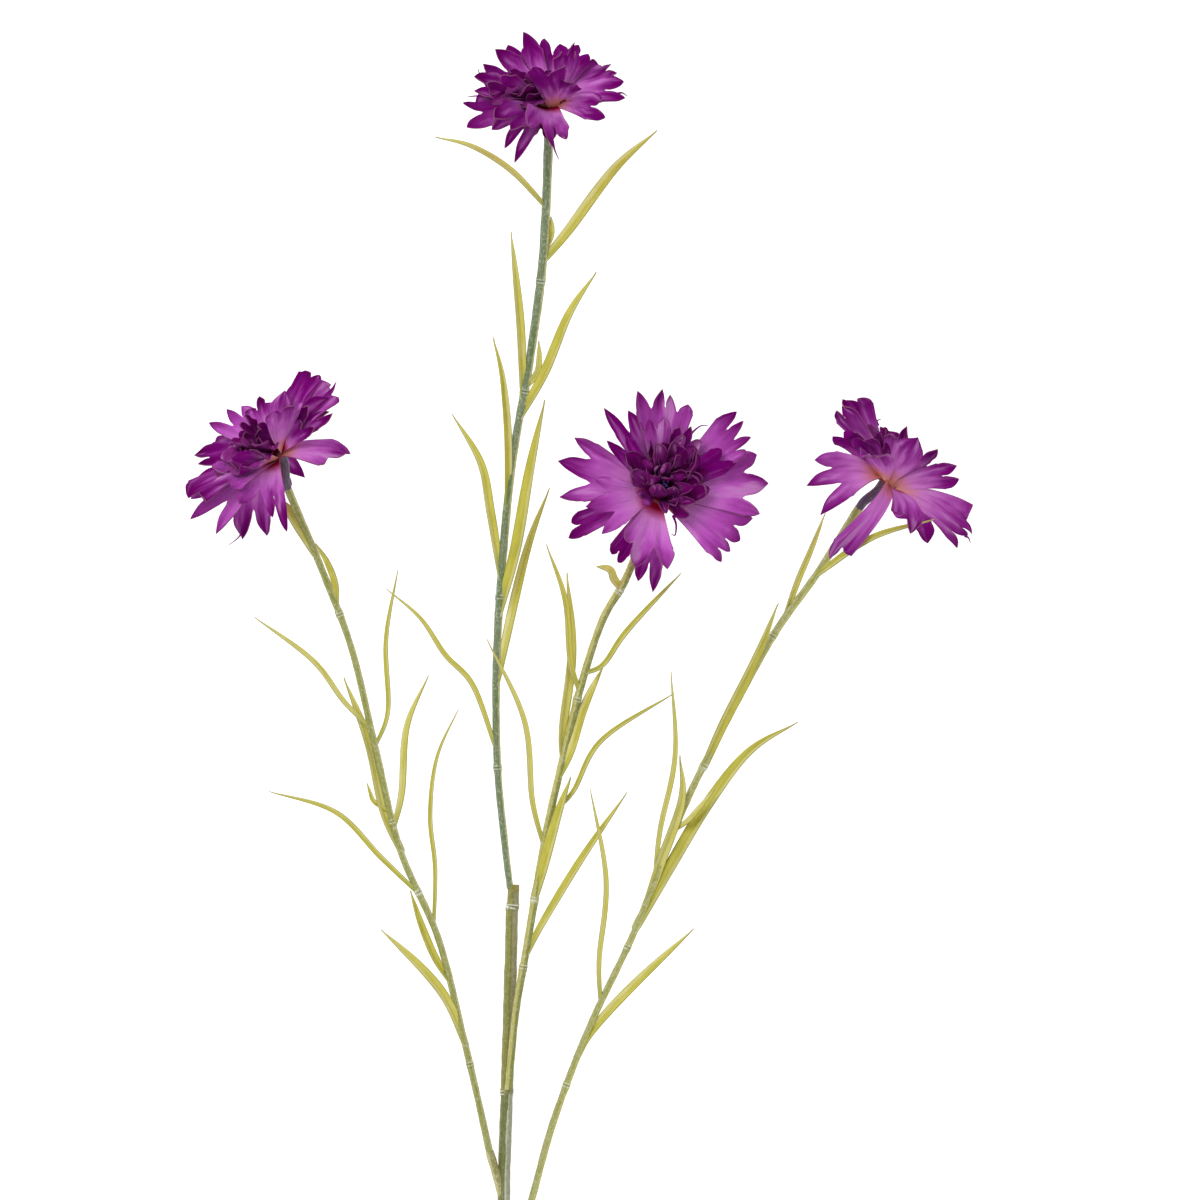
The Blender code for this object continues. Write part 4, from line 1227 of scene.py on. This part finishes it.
# %% The outline of a stamped petal
# Everything about one petal's cut, in shares of its length: the angles that bound its lobes, the tips of
# the lobes, how far out each slit begins, the lift, curl and twist of each lobe in mm, half the foot's
# width, how pointed the lobes are, how much wider they get, the height of their pleats in mm and the phases
# of the cloth's waves.
Cut = namedtuple("Cut", "bounds tips slits lifts curls twists foot point swell keel waves")
SINGLE_HALF = radians(12)
OUTER_SHARE = 0.85
LEAST_OUTER = radians(9)
LOBE_SLENDERNESS = 1.35


def lobe_bounds(angles, wide):
    """The angles between the lobes and on both sides of them, for the angles of their tips."""
    if len(angles) == 1:
        return [angles[0] - SINGLE_HALF * wide, angles[0] + SINGLE_HALF * wide]
    inner = [(a + b) / 2 for a, b in zip(angles, angles[1:])]
    first = angles[0] - max((inner[0] - angles[0]) * OUTER_SHARE, LEAST_OUTER) * wide
    last = angles[-1] + max((angles[-1] - inner[-1]) * OUTER_SHARE, LEAST_OUTER) * wide
    return [first, *inner, last]


# %% The irregularities of a stamped petal
# The outer slits begin a little further out. The rest is how far off a cut may be, either way or between two
# bounds: slits in petal lengths, lifts, curls, twists and keels in mm, points and swells as shares.
OUTER_SLIT = 0.03
SLIT_SPREAD = 0.05
LIFT_SPREAD = 0.8
CURL_SPREAD = 1.4
TWIST_SPREAD = 1.1
KEEL_RANGE = (0.25, 0.8)
POINT_RANGE = (0.85, 1.15)
SWELL_RANGE = (0.15, 0.6)
PETAL_POINT = 1.05


def stamped(draw, tips, slit, foot, point=PETAL_POINT, wild=1, wide=1):
    """A petal's cut for the tips of its lobes; wild scales its irregularities and wide its outer lobes."""
    angles = [atan2(tip.y, tip.x) for tip in tips]
    lobes = len(tips)
    if lobes > 1:
        slit = max(slit, 1 - LOBE_SLENDERNESS * (angles[-1] - angles[0]) / (lobes - 1))

    def scattered(spread, count=lobes):
        return [draw.uniform(-spread, spread) * wild for _ in range(count)]

    outer = slit + OUTER_SLIT
    slits = [outer, *[slit + off for off in scattered(SLIT_SPREAD, lobes - 1)], outer]
    lifts, curls, twists = [scattered(spread) for spread in (LIFT_SPREAD, CURL_SPREAD, TWIST_SPREAD)]
    keel = draw.uniform(*KEEL_RANGE) * draw.choice((-1, 1, 1)) * wild
    waves = [draw.uniform(0, 2 * pi) for _ in range(4)]
    point = point * draw.uniform(*POINT_RANGE)
    swell = draw.uniform(*SWELL_RANGE)
    return Cut(lobe_bounds(angles, wide), tips, slits, lifts, curls, twists, foot, point, swell, keel, waves)


# %% Where the points of a blank go
WAIST = 0.16
OVATE = 2.2
WAVE_HEIGHT = 0.35
EDGE_WAVE_HEIGHT = 0.3
PLEAT_AT_SLIT = 0.6
PLEAT_IN_LOBE = 1.6
RIPPLE = 0.07


def sheet_place(cut, radius, side, slit):
    """A point of the undivided part of the petal: radius is a share of its length, side runs from -1 to 1."""
    lobes = len(cut.tips)
    at = (side + 1) / 2 * lobes
    lobe = min(lobes - 1, int(at))
    angle = cut.bounds[lobe] + (cut.bounds[lobe + 1] - cut.bounds[lobe]) * (at - lobe)
    share = min(1, radius / slit)
    return Vector((radius * cos(angle * share), cut.foot * side * (1 - share) + slit * sin(angle) * share))


def petal_wave(cut, share, side):
    """The soft waves of cloth that was handled, in mm: across the petal and along its edges."""
    slow = WAVE_HEIGHT * sin(4.5 * share + 1.5 * side + cut.waves[0])
    edge = EDGE_WAVE_HEIGHT * abs(side) ** 3 * sin(13 * share + cut.waves[1])
    return (slow + edge) * smoothstep(0.05, 0.5, share)


def petal_place(cut, share, side, lobe):
    """Where a point of the blank goes in petal lengths, its lift in mm and how near an edge it is."""
    lobes = len(cut.tips)
    within = (side + 1) * lobes - 2 * lobe - 1
    blend_across = smoothstep(-1, 1, within)
    slit = cut.slits[lobe] * (1 - blend_across) + cut.slits[lobe + 1] * blend_across
    pleat = -cut.keel * cos(pi * within)
    if share <= 0.5:
        flat = sheet_place(cut, slit * share * 2, side, slit)
        lift = pleat * (share * 2) ** 2 * PLEAT_AT_SLIT + petal_wave(cut, share, side)
        edge = abs(side) ** 10 * smoothstep(0.1, 0.4, share)
        return flat, lift, edge
    t = share * 2 - 1
    middle = (2 * lobe + 1) / lobes - 1
    middle_slit = (cut.slits[lobe] + cut.slits[lobe + 1]) / 2
    centre = sheet_place(cut, middle_slit, middle, middle_slit)
    reach = cut.tips[lobe] - centre
    ahead = reach.normalized()
    sideways = Vector((-ahead.y, ahead.x))
    root = sheet_place(cut, slit, side, slit) - centre
    taper = (1 - t**OVATE) ** cut.point
    waist = 1 - WAIST * smoothstep(0, 0.16, t)
    swell = (1 + cut.swell * t) * waist * taper * (1 + RIPPLE * sin(9 * t + cut.waves[2] + 2 * within) * t)
    forward = root.dot(ahead) * (1 - t) + reach.length * t
    flat = centre + ahead * forward + sideways * root.dot(sideways) * swell
    lift = pleat * PLEAT_AT_SLIT * (1 - t) + cut.lifts[lobe] * t * t + cut.curls[lobe] * t**3
    lift += (cut.keel * PLEAT_IN_LOBE * (within**2 - 0.4) + cut.twists[lobe] * within) * t * taper
    lift += petal_wave(cut, share, side) * taper
    edge = max(abs(side) ** 10 * (1 - t), abs(within) ** 5 * smoothstep(0, 0.3, t), t**5)
    return flat, lift, edge


# %% [markdown]
# ## Bending a petal
#
# A flat petal is bent along an arc from its foot in the head's hub to its tip in the picture, cupped across
# that arc and rolled about it. The Curve modifier can't cup a sheet, so this bend is a formula that moves
# each vertex.

# %% The arc of a petal
# A petal leaves its hub more upright than it ends, and is cupped more at its foot than at its tip.
START_LEAN_SHARE = 0.8
START_LEAN_LIMIT = radians(112)
BEND_SHARE = 0.45
ROLL_SHARE = 0.45
CUP_AT_FOOT = 0.15 / MM
CUP_AT_TIP = 0.05 / MM


class HeadFrame:
    """A head's hub, the way it faces, and the two directions that angles round it are counted from."""

    def __init__(self, head):
        self.hub = spot(*head.hub)
        self.axis = Vector(head.axis).normalized()
        self.zero = self.axis.orthogonal().normalized()
        self.quarter = self.axis.cross(self.zero)

    def place(self, angle, radius, rise):
        """The place at an angle and a radius round the axis, and a rise along it."""
        outward = self.zero * cos(angle) + self.quarter * sin(angle)
        return self.hub + outward * radius + self.axis * rise


class Spine:
    """The arc that a petal's middle follows, from its foot in the hub to its tip."""

    def __init__(self, frame, rise, tip, foot_radius):
        centre = frame.hub + frame.axis * rise
        reach = tip - centre
        self.outward = (reach - frame.axis * reach.dot(frame.axis)).normalized()
        lean = min(reach.angle(frame.axis) * START_LEAN_SHARE, START_LEAN_LIMIT)
        self.foot = centre + self.outward * foot_radius
        self.tip = tip
        self.length = (tip - self.foot).length
        self.bend = self.foot + (self.outward * sin(lean) + frame.axis * cos(lean)) * self.length * BEND_SHARE
        self.sideways = frame.axis.cross(self.outward)

    def place(self, share, across, lift, roll):
        """Where a point of the flat petal goes, with lift counted towards the head's axis."""
        ahead = (self.bend - self.foot) * (1 - share) + (self.tip - self.bend) * share
        middle = self.foot * (1 - share) ** 2 + self.bend * 2 * share * (1 - share) + self.tip * share**2
        face = ahead.normalized().cross(self.sideways)
        twist = radians(roll) * smoothstep(-0.1, ROLL_SHARE, share)
        across_way = self.sideways * cos(twist) + face * sin(twist)
        face_way = face * cos(twist) - self.sideways * sin(twist)
        curl = CUP_AT_FOOT + (CUP_AT_TIP - CUP_AT_FOOT) * share
        cup = (1 - cos(across * curl)) / curl
        return middle + across_way * (sin(across * curl) / curl) + face_way * (cup + lift)


# %% Rolling a petal until its lobes fan out evenly
# The picture shows where the tips of the lobes are, but not how far the petal is rolled about its own
# length. Of all rolls, in degrees, the likely one is that for which the lobes fan out as evenly as they do on
# a flat petal.
LOBE_SPACING = radians(17)
ROLLS = range(-75, 80, 5)
SMALL_STEP = 0.01
SEARCH_STEPS = 7
SEARCH_START = 0.95
LONGEST_MOVE = 0.2
LONGEST_SIDE_MOVE = 4 * MM
LEAST_SPREAD = 0.05
NARROW_WEIGHT = 0.4
REACH_WEIGHT = 12
FACING_WEIGHT = 2.5


def flat_place(spine, roll, mark):
    """The point of a flat petal, in petal lengths, that the bend puts over a place of the picture."""
    share, across = SEARCH_START, 0.0
    step = SMALL_STEP * spine.length
    for _ in range(SEARCH_STEPS):
        here = spine.place(share, across, 0, roll)
        ahead = (spine.place(share + SMALL_STEP, across, 0, roll) - here) / step
        aside = (spine.place(share, across + step, 0, roll) - here) / step
        miss = mark - here
        spread = ahead.x * aside.y - ahead.y * aside.x
        if abs(spread) < LEAST_SPREAD:
            break
        forward = (miss.x * aside.y - miss.y * aside.x) / spread
        sideways = (ahead.x * miss.y - ahead.y * miss.x) / spread
        share += max(-LONGEST_MOVE, min(LONGEST_MOVE, forward / spine.length))
        across += max(-LONGEST_SIDE_MOVE, min(LONGEST_SIDE_MOVE, sideways))
    return Vector((share, across / spine.length))


def edge_on(spine, roll):
    """0 where a rolled petal lies open to the camera, 1 where it's seen from its edge."""
    here = spine.place(0.75, 0, 0, roll)
    face_way = spine.place(0.75, 0, MM, roll) - here
    return 1 - abs(face_way.normalized().z)


def uneven(tips, roll):
    """How far the lobes are from a natural fan, for comparing rolls."""
    angles = [atan2(tip.y, tip.x) for tip in tips]
    spaces = [abs(a - b) / LOBE_SPACING for a, b in zip(angles, angles[1:])]
    fan = sum((space - 1) ** 2 * (1 if space > 1 else NARROW_WEIGHT) for space in spaces)
    reach = sum((tip.length - 1) ** 2 for tip in tips)
    return fan + reach * REACH_WEIGHT + (roll / 90) ** 2


def fitted(spine, petal):
    """The roll and the flat tips of a petal that put its lobes where the picture has them."""
    marks = [spot(*tip, 0) for tip in petal.tips]
    trials = [(roll, [flat_place(spine, roll, mark) for mark in marks]) for roll in ROLLS]
    costs = [uneven(tips, roll) + FACING_WEIGHT * edge_on(spine, roll) ** 2 for roll, tips in trials]
    roll, tips = trials[costs.index(min(costs))]
    return roll, sorted(tips, key=lambda tip: atan2(tip.y, tip.x))


def middle_tip(petal, hub_height):
    """The tip that the petal's spine runs to: the middle lobe's, or halfway between the middle two."""
    first, second = petal.tips[(len(petal.tips) - 1) // 2], petal.tips[len(petal.tips) // 2]
    across, down = (first[0] + second[0]) / 2, (first[1] + second[1]) / 2
    return spot(across, down, hub_height + petal.rise)


# %% One petal of cloth
PETAL_THICKNESS = 0.28 * MM
FLOOR_GAP = 0.25 * MM
MERGE_DISTANCE = 0.01 * MM


def cloth_petal(name, cut, spine, roll, tone, materials):
    petal = copy_of(PETAL_BLANKS[len(cut.tips)], name)
    mesh = petal.data
    owners = lobe_of_vertices(petal, len(cut.tips))
    along, across, edges = [], [], []
    for vertex, lobe in zip(mesh.vertices, owners):
        side = vertex.co.y * 2
        flat, lift, edge = petal_place(cut, vertex.co.x + 0.5, side, lobe)
        along.append(flat.x)
        across.append(side)
        edges.append(edge)
        vertex.co = spine.place(flat.x, flat.y * spine.length, lift * MM, roll)
        vertex.co.z = max(vertex.co.z, FLOOR_GAP)
    set_values(mesh, "petal_along", along)
    set_values(mesh, "petal_across", across)
    set_values(mesh, "petal_edge", edges)
    set_values(mesh, "petal_tone", [tone] * len(along))
    coat(petal, *materials)
    merge_close(petal, MERGE_DISTANCE)
    shell = thickened(petal, PETAL_THICKNESS)
    shell.material_offset = 1
    shell.material_offset_rim = 2
    apply_modifiers(petal)
    smooth(petal)
    return petal


# %% A frayed strand
# It thins out along its length, and has the dye of a petal's outer part.
THREAD_RADIUS = 0.28 * MM
THREAD_START = 1.3
THREAD_TONE = 0.2


def thread_piece(route, hub_height):
    places = [spot(a, d, hub_height + rise) for a, d, rise in smooth_route(route, SHORT_RINGS)]
    radii = [THREAD_RADIUS * (THREAD_START - step / SHORT_RINGS) for step in range(SHORT_RINGS + 1)]
    strand = copy_of(SHORT_ROD, "thread")
    along = [0.75 + 0.2 * vertex.co.z for vertex in strand.data.vertices]
    lay_along(strand, places, radii, twist="MINIMUM")
    set_values(strand.data, "petal_along", along)
    set_values(strand.data, "petal_tone", [THREAD_TONE] * len(along))
    coat(strand, PETAL_FACE)
    smooth(strand, keep_sharp=False)
    return strand


# %% A hub for the petals' feet
HUB_HEIGHT = 1.8 * MM
HUB_RADIUS = 3.0 * MM
PETAL_FOOT_RADIUS = 2.5 * MM
PETAL_FOOT_WIDTH = 3.0 * MM
PETAL_FOOT_RISES = (0.35 * HUB_HEIGHT, 0.65 * HUB_HEIGHT)
HUB_SIDES = 20
HUB_ROUNDING = 0.45


def hub_piece(name, frame, start, height, radius, material):
    """A low rounded button about a head's axis, that begins at start along it."""
    deselect_all()
    bpy.ops.mesh.primitive_cylinder_add(vertices=HUB_SIDES, radius=radius, depth=height)
    hub = bpy.context.object
    hub.name = name
    hub.location = frame.hub + frame.axis * (start + height / 2)
    hub.rotation_euler = frame.axis.to_track_quat("Z", "Y").to_euler()
    bpy.ops.object.transform_apply(location=True, rotation=True)
    rounding = hub.modifiers.new("rounding", "BEVEL")
    rounding.width = height * HUB_ROUNDING
    rounding.segments = 4
    apply_modifiers(hub)
    coat(hub, material)
    smooth(hub)
    return hub


HUB_CLOTH = plain_cloth("hub_cloth", (96, 8, 36), (150, 60, 70))

# %% The rings of petals
# Neighbouring petals start from two heights, so that their feet overlap instead of crossing.
PETAL_BREADTHS = {"top": 1.35, "left": 1.2, "middle": 0.7, "right": 1.12}

for head in HEADS:
    head_frame = HeadFrame(head)
    draw = random.Random(head.seed)
    parts = [hub_piece("hub", head_frame, 0, HUB_HEIGHT, HUB_RADIUS, HUB_CLOTH)]
    for number, petal in enumerate(head.petals):
        tip = middle_tip(petal, head.hub[2])
        spine = Spine(head_frame, PETAL_FOOT_RISES[number % 2], tip, PETAL_FOOT_RADIUS)
        roll, tips = fitted(spine, petal)
        breadth = petal.wide * PETAL_BREADTHS[head.name]
        cut = stamped(draw, tips, petal.slit, PETAL_FOOT_WIDTH / 2 / spine.length, wide=breadth)
        sides = [PETAL_BACK, PETAL_FACE] if petal.turned else [PETAL_FACE, PETAL_BACK]
        parts.append(cloth_petal("petal", cut, spine, roll, petal.tone, [*sides, PETAL_EDGE]))
    parts += [thread_piece(route, head.hub[2]) for route in head.threads]
    finish_piece(joined(parts, f"{head.name}_petal_ring"), "petal_purple", f"{head.name}_petals")
bpy.data.objects.remove(SHORT_ROD)

# %% [markdown]
# ## Florets
#
# The middle of a head is a crowd of small dark florets with round, ruffled ends. They are stamped and bent
# with the same code as the petals, with blunter lobes, and stand in rings that lean out less and less
# towards the middle.

# %% Floret finishes
FLORET_FACE = petal_finish(
    "floret_face",
    [(0.0, 66, 0, 24), (0.35, 118, 12, 104), (0.7, 146, 40, 138), (1.0, 162, 72, 154)],
    [(0.0, 28, 0, 14), (0.35, 58, 0, 48), (0.75, 94, 0, 82), (1.0, 106, 4, 96)],
    -0.02,
)
FLORET_BACK = petal_finish(
    "floret_back",
    [(0.0, 88, 4, 40), (0.35, 118, 22, 106), (0.7, 142, 46, 134), (1.0, 154, 68, 144)],
    [(0.0, 40, 0, 20), (0.35, 68, 0, 58), (0.75, 96, 2, 88), (1.0, 104, 10, 94)],
)
FLORET_EDGE = plain_cloth("floret_edge", (88, 24, 74), (130, 64, 108))

# %% Rings of florets
# A ring has a number of florets, the radius of their feet in mm, how far they lean out in degrees, and
# their length.
FloretRing = namedtuple("FloretRing", "number foot_radius lean length")
NARROW_RINGS = [FloretRing(9, 2.1, 52, 12.0), FloretRing(7, 1.7, 34, 11.5), FloretRing(5, 1.1, 14, 9.5)]
WIDE_RINGS = [FloretRing(10, 2.2, 62, 14.0), FloretRing(8, 1.9, 43, 13.0), FloretRing(6, 1.4, 24, 10.5)]
FLORET_SPACING = radians(19)
FLORET_SLIT = 0.74
FLORET_FOOT = 0.8 * MM
FLORET_POINT = 0.55
FLORET_WILDNESS = 1.3
FLORET_LOBES = (1, 2, 2, 3)
OUTER_TONE = 1.1
INNER_TONE = 0.7
CORE_RADIUS = 2.6 * MM
CORE_HEIGHT = 2.6 * MM
CORE_START = HUB_HEIGHT + 0.3 * MM


def floret(draw, head, row, ring, place):
    """The floret at a place in a ring, counted from row 0 on the outside."""
    frame = HeadFrame(head)
    rise = CORE_START + CORE_HEIGHT / 2
    angle = 2 * pi * (place + 0.5 * row) / ring.number + draw.uniform(-0.2, 0.2)
    lean = radians(ring.lean + draw.uniform(-13, 13))
    length = ring.length * MM * draw.uniform(0.72, 1.08)
    tip = frame.place(angle, length * sin(lean), rise + length * cos(lean)) + Vector(head.crown) * MM
    spine = Spine(frame, rise, tip, ring.foot_radius * MM)
    lobes = draw.choice(FLORET_LOBES)
    turns = [FLORET_SPACING * (lobe - (lobes - 1) / 2) for lobe in range(lobes)]
    tips = [Vector((cos(turn), sin(turn))) * draw.uniform(0.93, 1.05) for turn in turns]
    wide = draw.uniform(1.3, 2.1)
    cut = stamped(draw, tips, FLORET_SLIT, FLORET_FOOT / length, FLORET_POINT, FLORET_WILDNESS, wide)
    roll = draw.uniform(-50, 50)
    tone = draw.random() * (OUTER_TONE if row == 0 else INNER_TONE)
    return cloth_petal("floret", cut, spine, roll, tone, [FLORET_FACE, FLORET_BACK, FLORET_EDGE])


for head in HEADS:
    draw = random.Random(head.seed + 100)
    parts = [hub_piece("core", HeadFrame(head), CORE_START, CORE_HEIGHT, CORE_RADIUS, FLORET_FACE)]
    for row, ring in enumerate(WIDE_RINGS if head.name == "middle" else NARROW_RINGS):
        parts += [floret(draw, head, row, ring, place) for place in range(ring.number)]
    finish_piece(joined(parts, f"{head.name}_floret_crown"), "floret_plum", f"{head.name}_florets")
for blank in PETAL_BLANKS.values():
    bpy.data.objects.remove(blank)

# %% [markdown]
# ## Stamens
#
# In the very middle a few dark blue-violet rods with thick round heads stand close together. One is
# modelled from a cylinder and a ball, and the rest are copies set round the head's axis.

# %% The stamens' plastic


def stamen_finish():
    finish = Finish("stamen_plastic", Roughness=0.45)
    grain = finish.noise(finish.place(2200), 1, 3)
    colour = finish.ramp(grain, [(0.3, 36, 14, 70), (0.55, 74, 36, 122), (0.8, 128, 84, 160)])
    return finish.done(colour, height=grain, bump=0.3)


STAMEN_PLASTIC = stamen_finish()

# %% The rod and the ball of a stamen
STAMEN_RADIUS = 0.2 * MM
ANTHER_RADIUS = 0.42 * MM

STAMEN_ROD = rod_blank(2)
deselect_all()
bpy.ops.mesh.primitive_uv_sphere_add(segments=12, ring_count=8, radius=ANTHER_RADIUS)
STAMEN_BALL = bpy.context.object
for blank in (STAMEN_ROD, STAMEN_BALL):
    coat(blank, STAMEN_PLASTIC)
    smooth(blank, keep_sharp=False)
    print(blank.name, "with", len(blank.data.polygons), "faces")

# %% A tuft in each head
# A ring has a number of stamens, their distance from the axis and their height, both in mm. The middle head
# is seen straight from the front between its wide florets, so its stamens are taller.
STAMEN_RINGS = [(1, 0, 3.6), (5, 0.75, 3.4), (7, 1.5, 2.9)]
TUFT_START = CORE_START + CORE_HEIGHT
TUFT_GATHER = 0.6
TALL_TUFT = 1.8


def stamen(frame, angle, radius, height):
    """A rod that leans out a little from its foot, with a ball on it."""
    foot = frame.place(angle, radius * TUFT_GATHER, TUFT_START)
    top = frame.place(angle, radius, TUFT_START + height)
    rod, ball = copy_of(STAMEN_ROD, "stamen"), copy_of(STAMEN_BALL, "anther")
    lay_along(rod, [foot, (foot + top) / 2, top], [STAMEN_RADIUS] * 3, twist="MINIMUM")
    for vertex in ball.data.vertices:
        vertex.co += top
    return [rod, ball]


for head in HEADS:
    head_frame = HeadFrame(head)
    draw = random.Random(head.seed + 200)
    share = TALL_TUFT if head.name == "middle" else 1
    parts = []
    for number, radius, height in STAMEN_RINGS:
        for place in range(number):
            angle = 2 * pi * place / number + draw.uniform(-0.3, 0.3)
            length = height * MM * draw.uniform(0.85, 1.1) * share
            parts += stamen(head_frame, angle, radius * MM, length)
    finish_piece(joined(parts, f"{head.name}_stamen_tuft"), "stamen_violet", f"{head.name}_stamens")
bpy.data.objects.remove(STAMEN_ROD)
bpy.data.objects.remove(STAMEN_BALL)

# %% [markdown]
# ## The surface, the light and the camera
#
# The spray was photographed on pure white in even studio light. The floor is a sheet that glows almost
# white by itself, like paper on a light table, so it takes no shadow and no purple from the petals. A large
# soft lamp above gives the petals their form, and a bright world fills their shadows.

# %% Floor
FLOOR_GLOW = 0.95
FLOOR_SHARE = 0.4
FLOOR_SIZE = 12
FLOOR_DROP = 0.2 * MM
deselect_all()
bpy.ops.mesh.primitive_plane_add(size=FLOOR_SIZE, location=(0, 0, CAD_BOX[0].z - FLOOR_DROP))
floor = bpy.context.object
floor.name = "floor"
floor_paper = Finish("floor_paper", Roughness=0.9, Emission_Color=(1, 1, 1, 1), Emission_Strength=FLOOR_GLOW)
floor.data.materials.append(floor_paper.done((FLOOR_SHARE, FLOOR_SHARE, FLOOR_SHARE, 1)))
print("the floor is at", rounded(floor.location), "and", FLOOR_SIZE, "m wide")

# %% Lamps and world
WORLD_STRENGTH = 0.62
scene = bpy.context.scene
scene.view_settings.view_transform = "Standard"
world = bpy.data.worlds.new("studio")
scene.world = world
world.use_nodes = True
background = world.node_tree.nodes["Background"]
background.inputs["Color"].default_value = (1, 1, 1, 1)
background.inputs["Strength"].default_value = WORLD_STRENGTH


def softbox(name, place, size, watts):
    """A square area lamp that faces the middle of the spray."""
    data = bpy.data.lights.new(name, "AREA")
    data.size = size
    data.energy = watts
    lamp = new_object(name, data)
    lamp.location = place
    lamp.rotation_euler = (-Vector(place)).to_track_quat("-Z", "Y").to_euler()
    print(name, watts, "W")


softbox("key_softbox", (-0.7, 0.8, 1.3), size=1.0, watts=13)
softbox("fill_softbox", (0.9, -0.5, 1.6), size=1.2, watts=4)

# %% Camera
# A long lens straight above, so that the spray looks as flat as in the picture.
PICTURE_PIXELS = 1200
PICTURE_WIDTH = PICTURE_PIXELS * MM_PER_PIXEL * MM
FOCUS_HEIGHT = 12
LENS = 800
SENSOR = 36
CLIP_END = 20
middle = spot(PICTURE_PIXELS / 2, PICTURE_PIXELS / 2, FOCUS_HEIGHT)
half_angle = atan(SENSOR / 2 / LENS)
camera_data = bpy.data.cameras.new("camera")
camera_data.lens = LENS
camera_data.sensor_width = SENSOR
camera_data.clip_end = CLIP_END
camera = new_object("camera", camera_data)
camera.location = middle + Vector((0, 0, PICTURE_WIDTH / 2 / tan(half_angle)))
scene.camera = camera
print("the camera is", round(camera.location.z, 2), "m up")
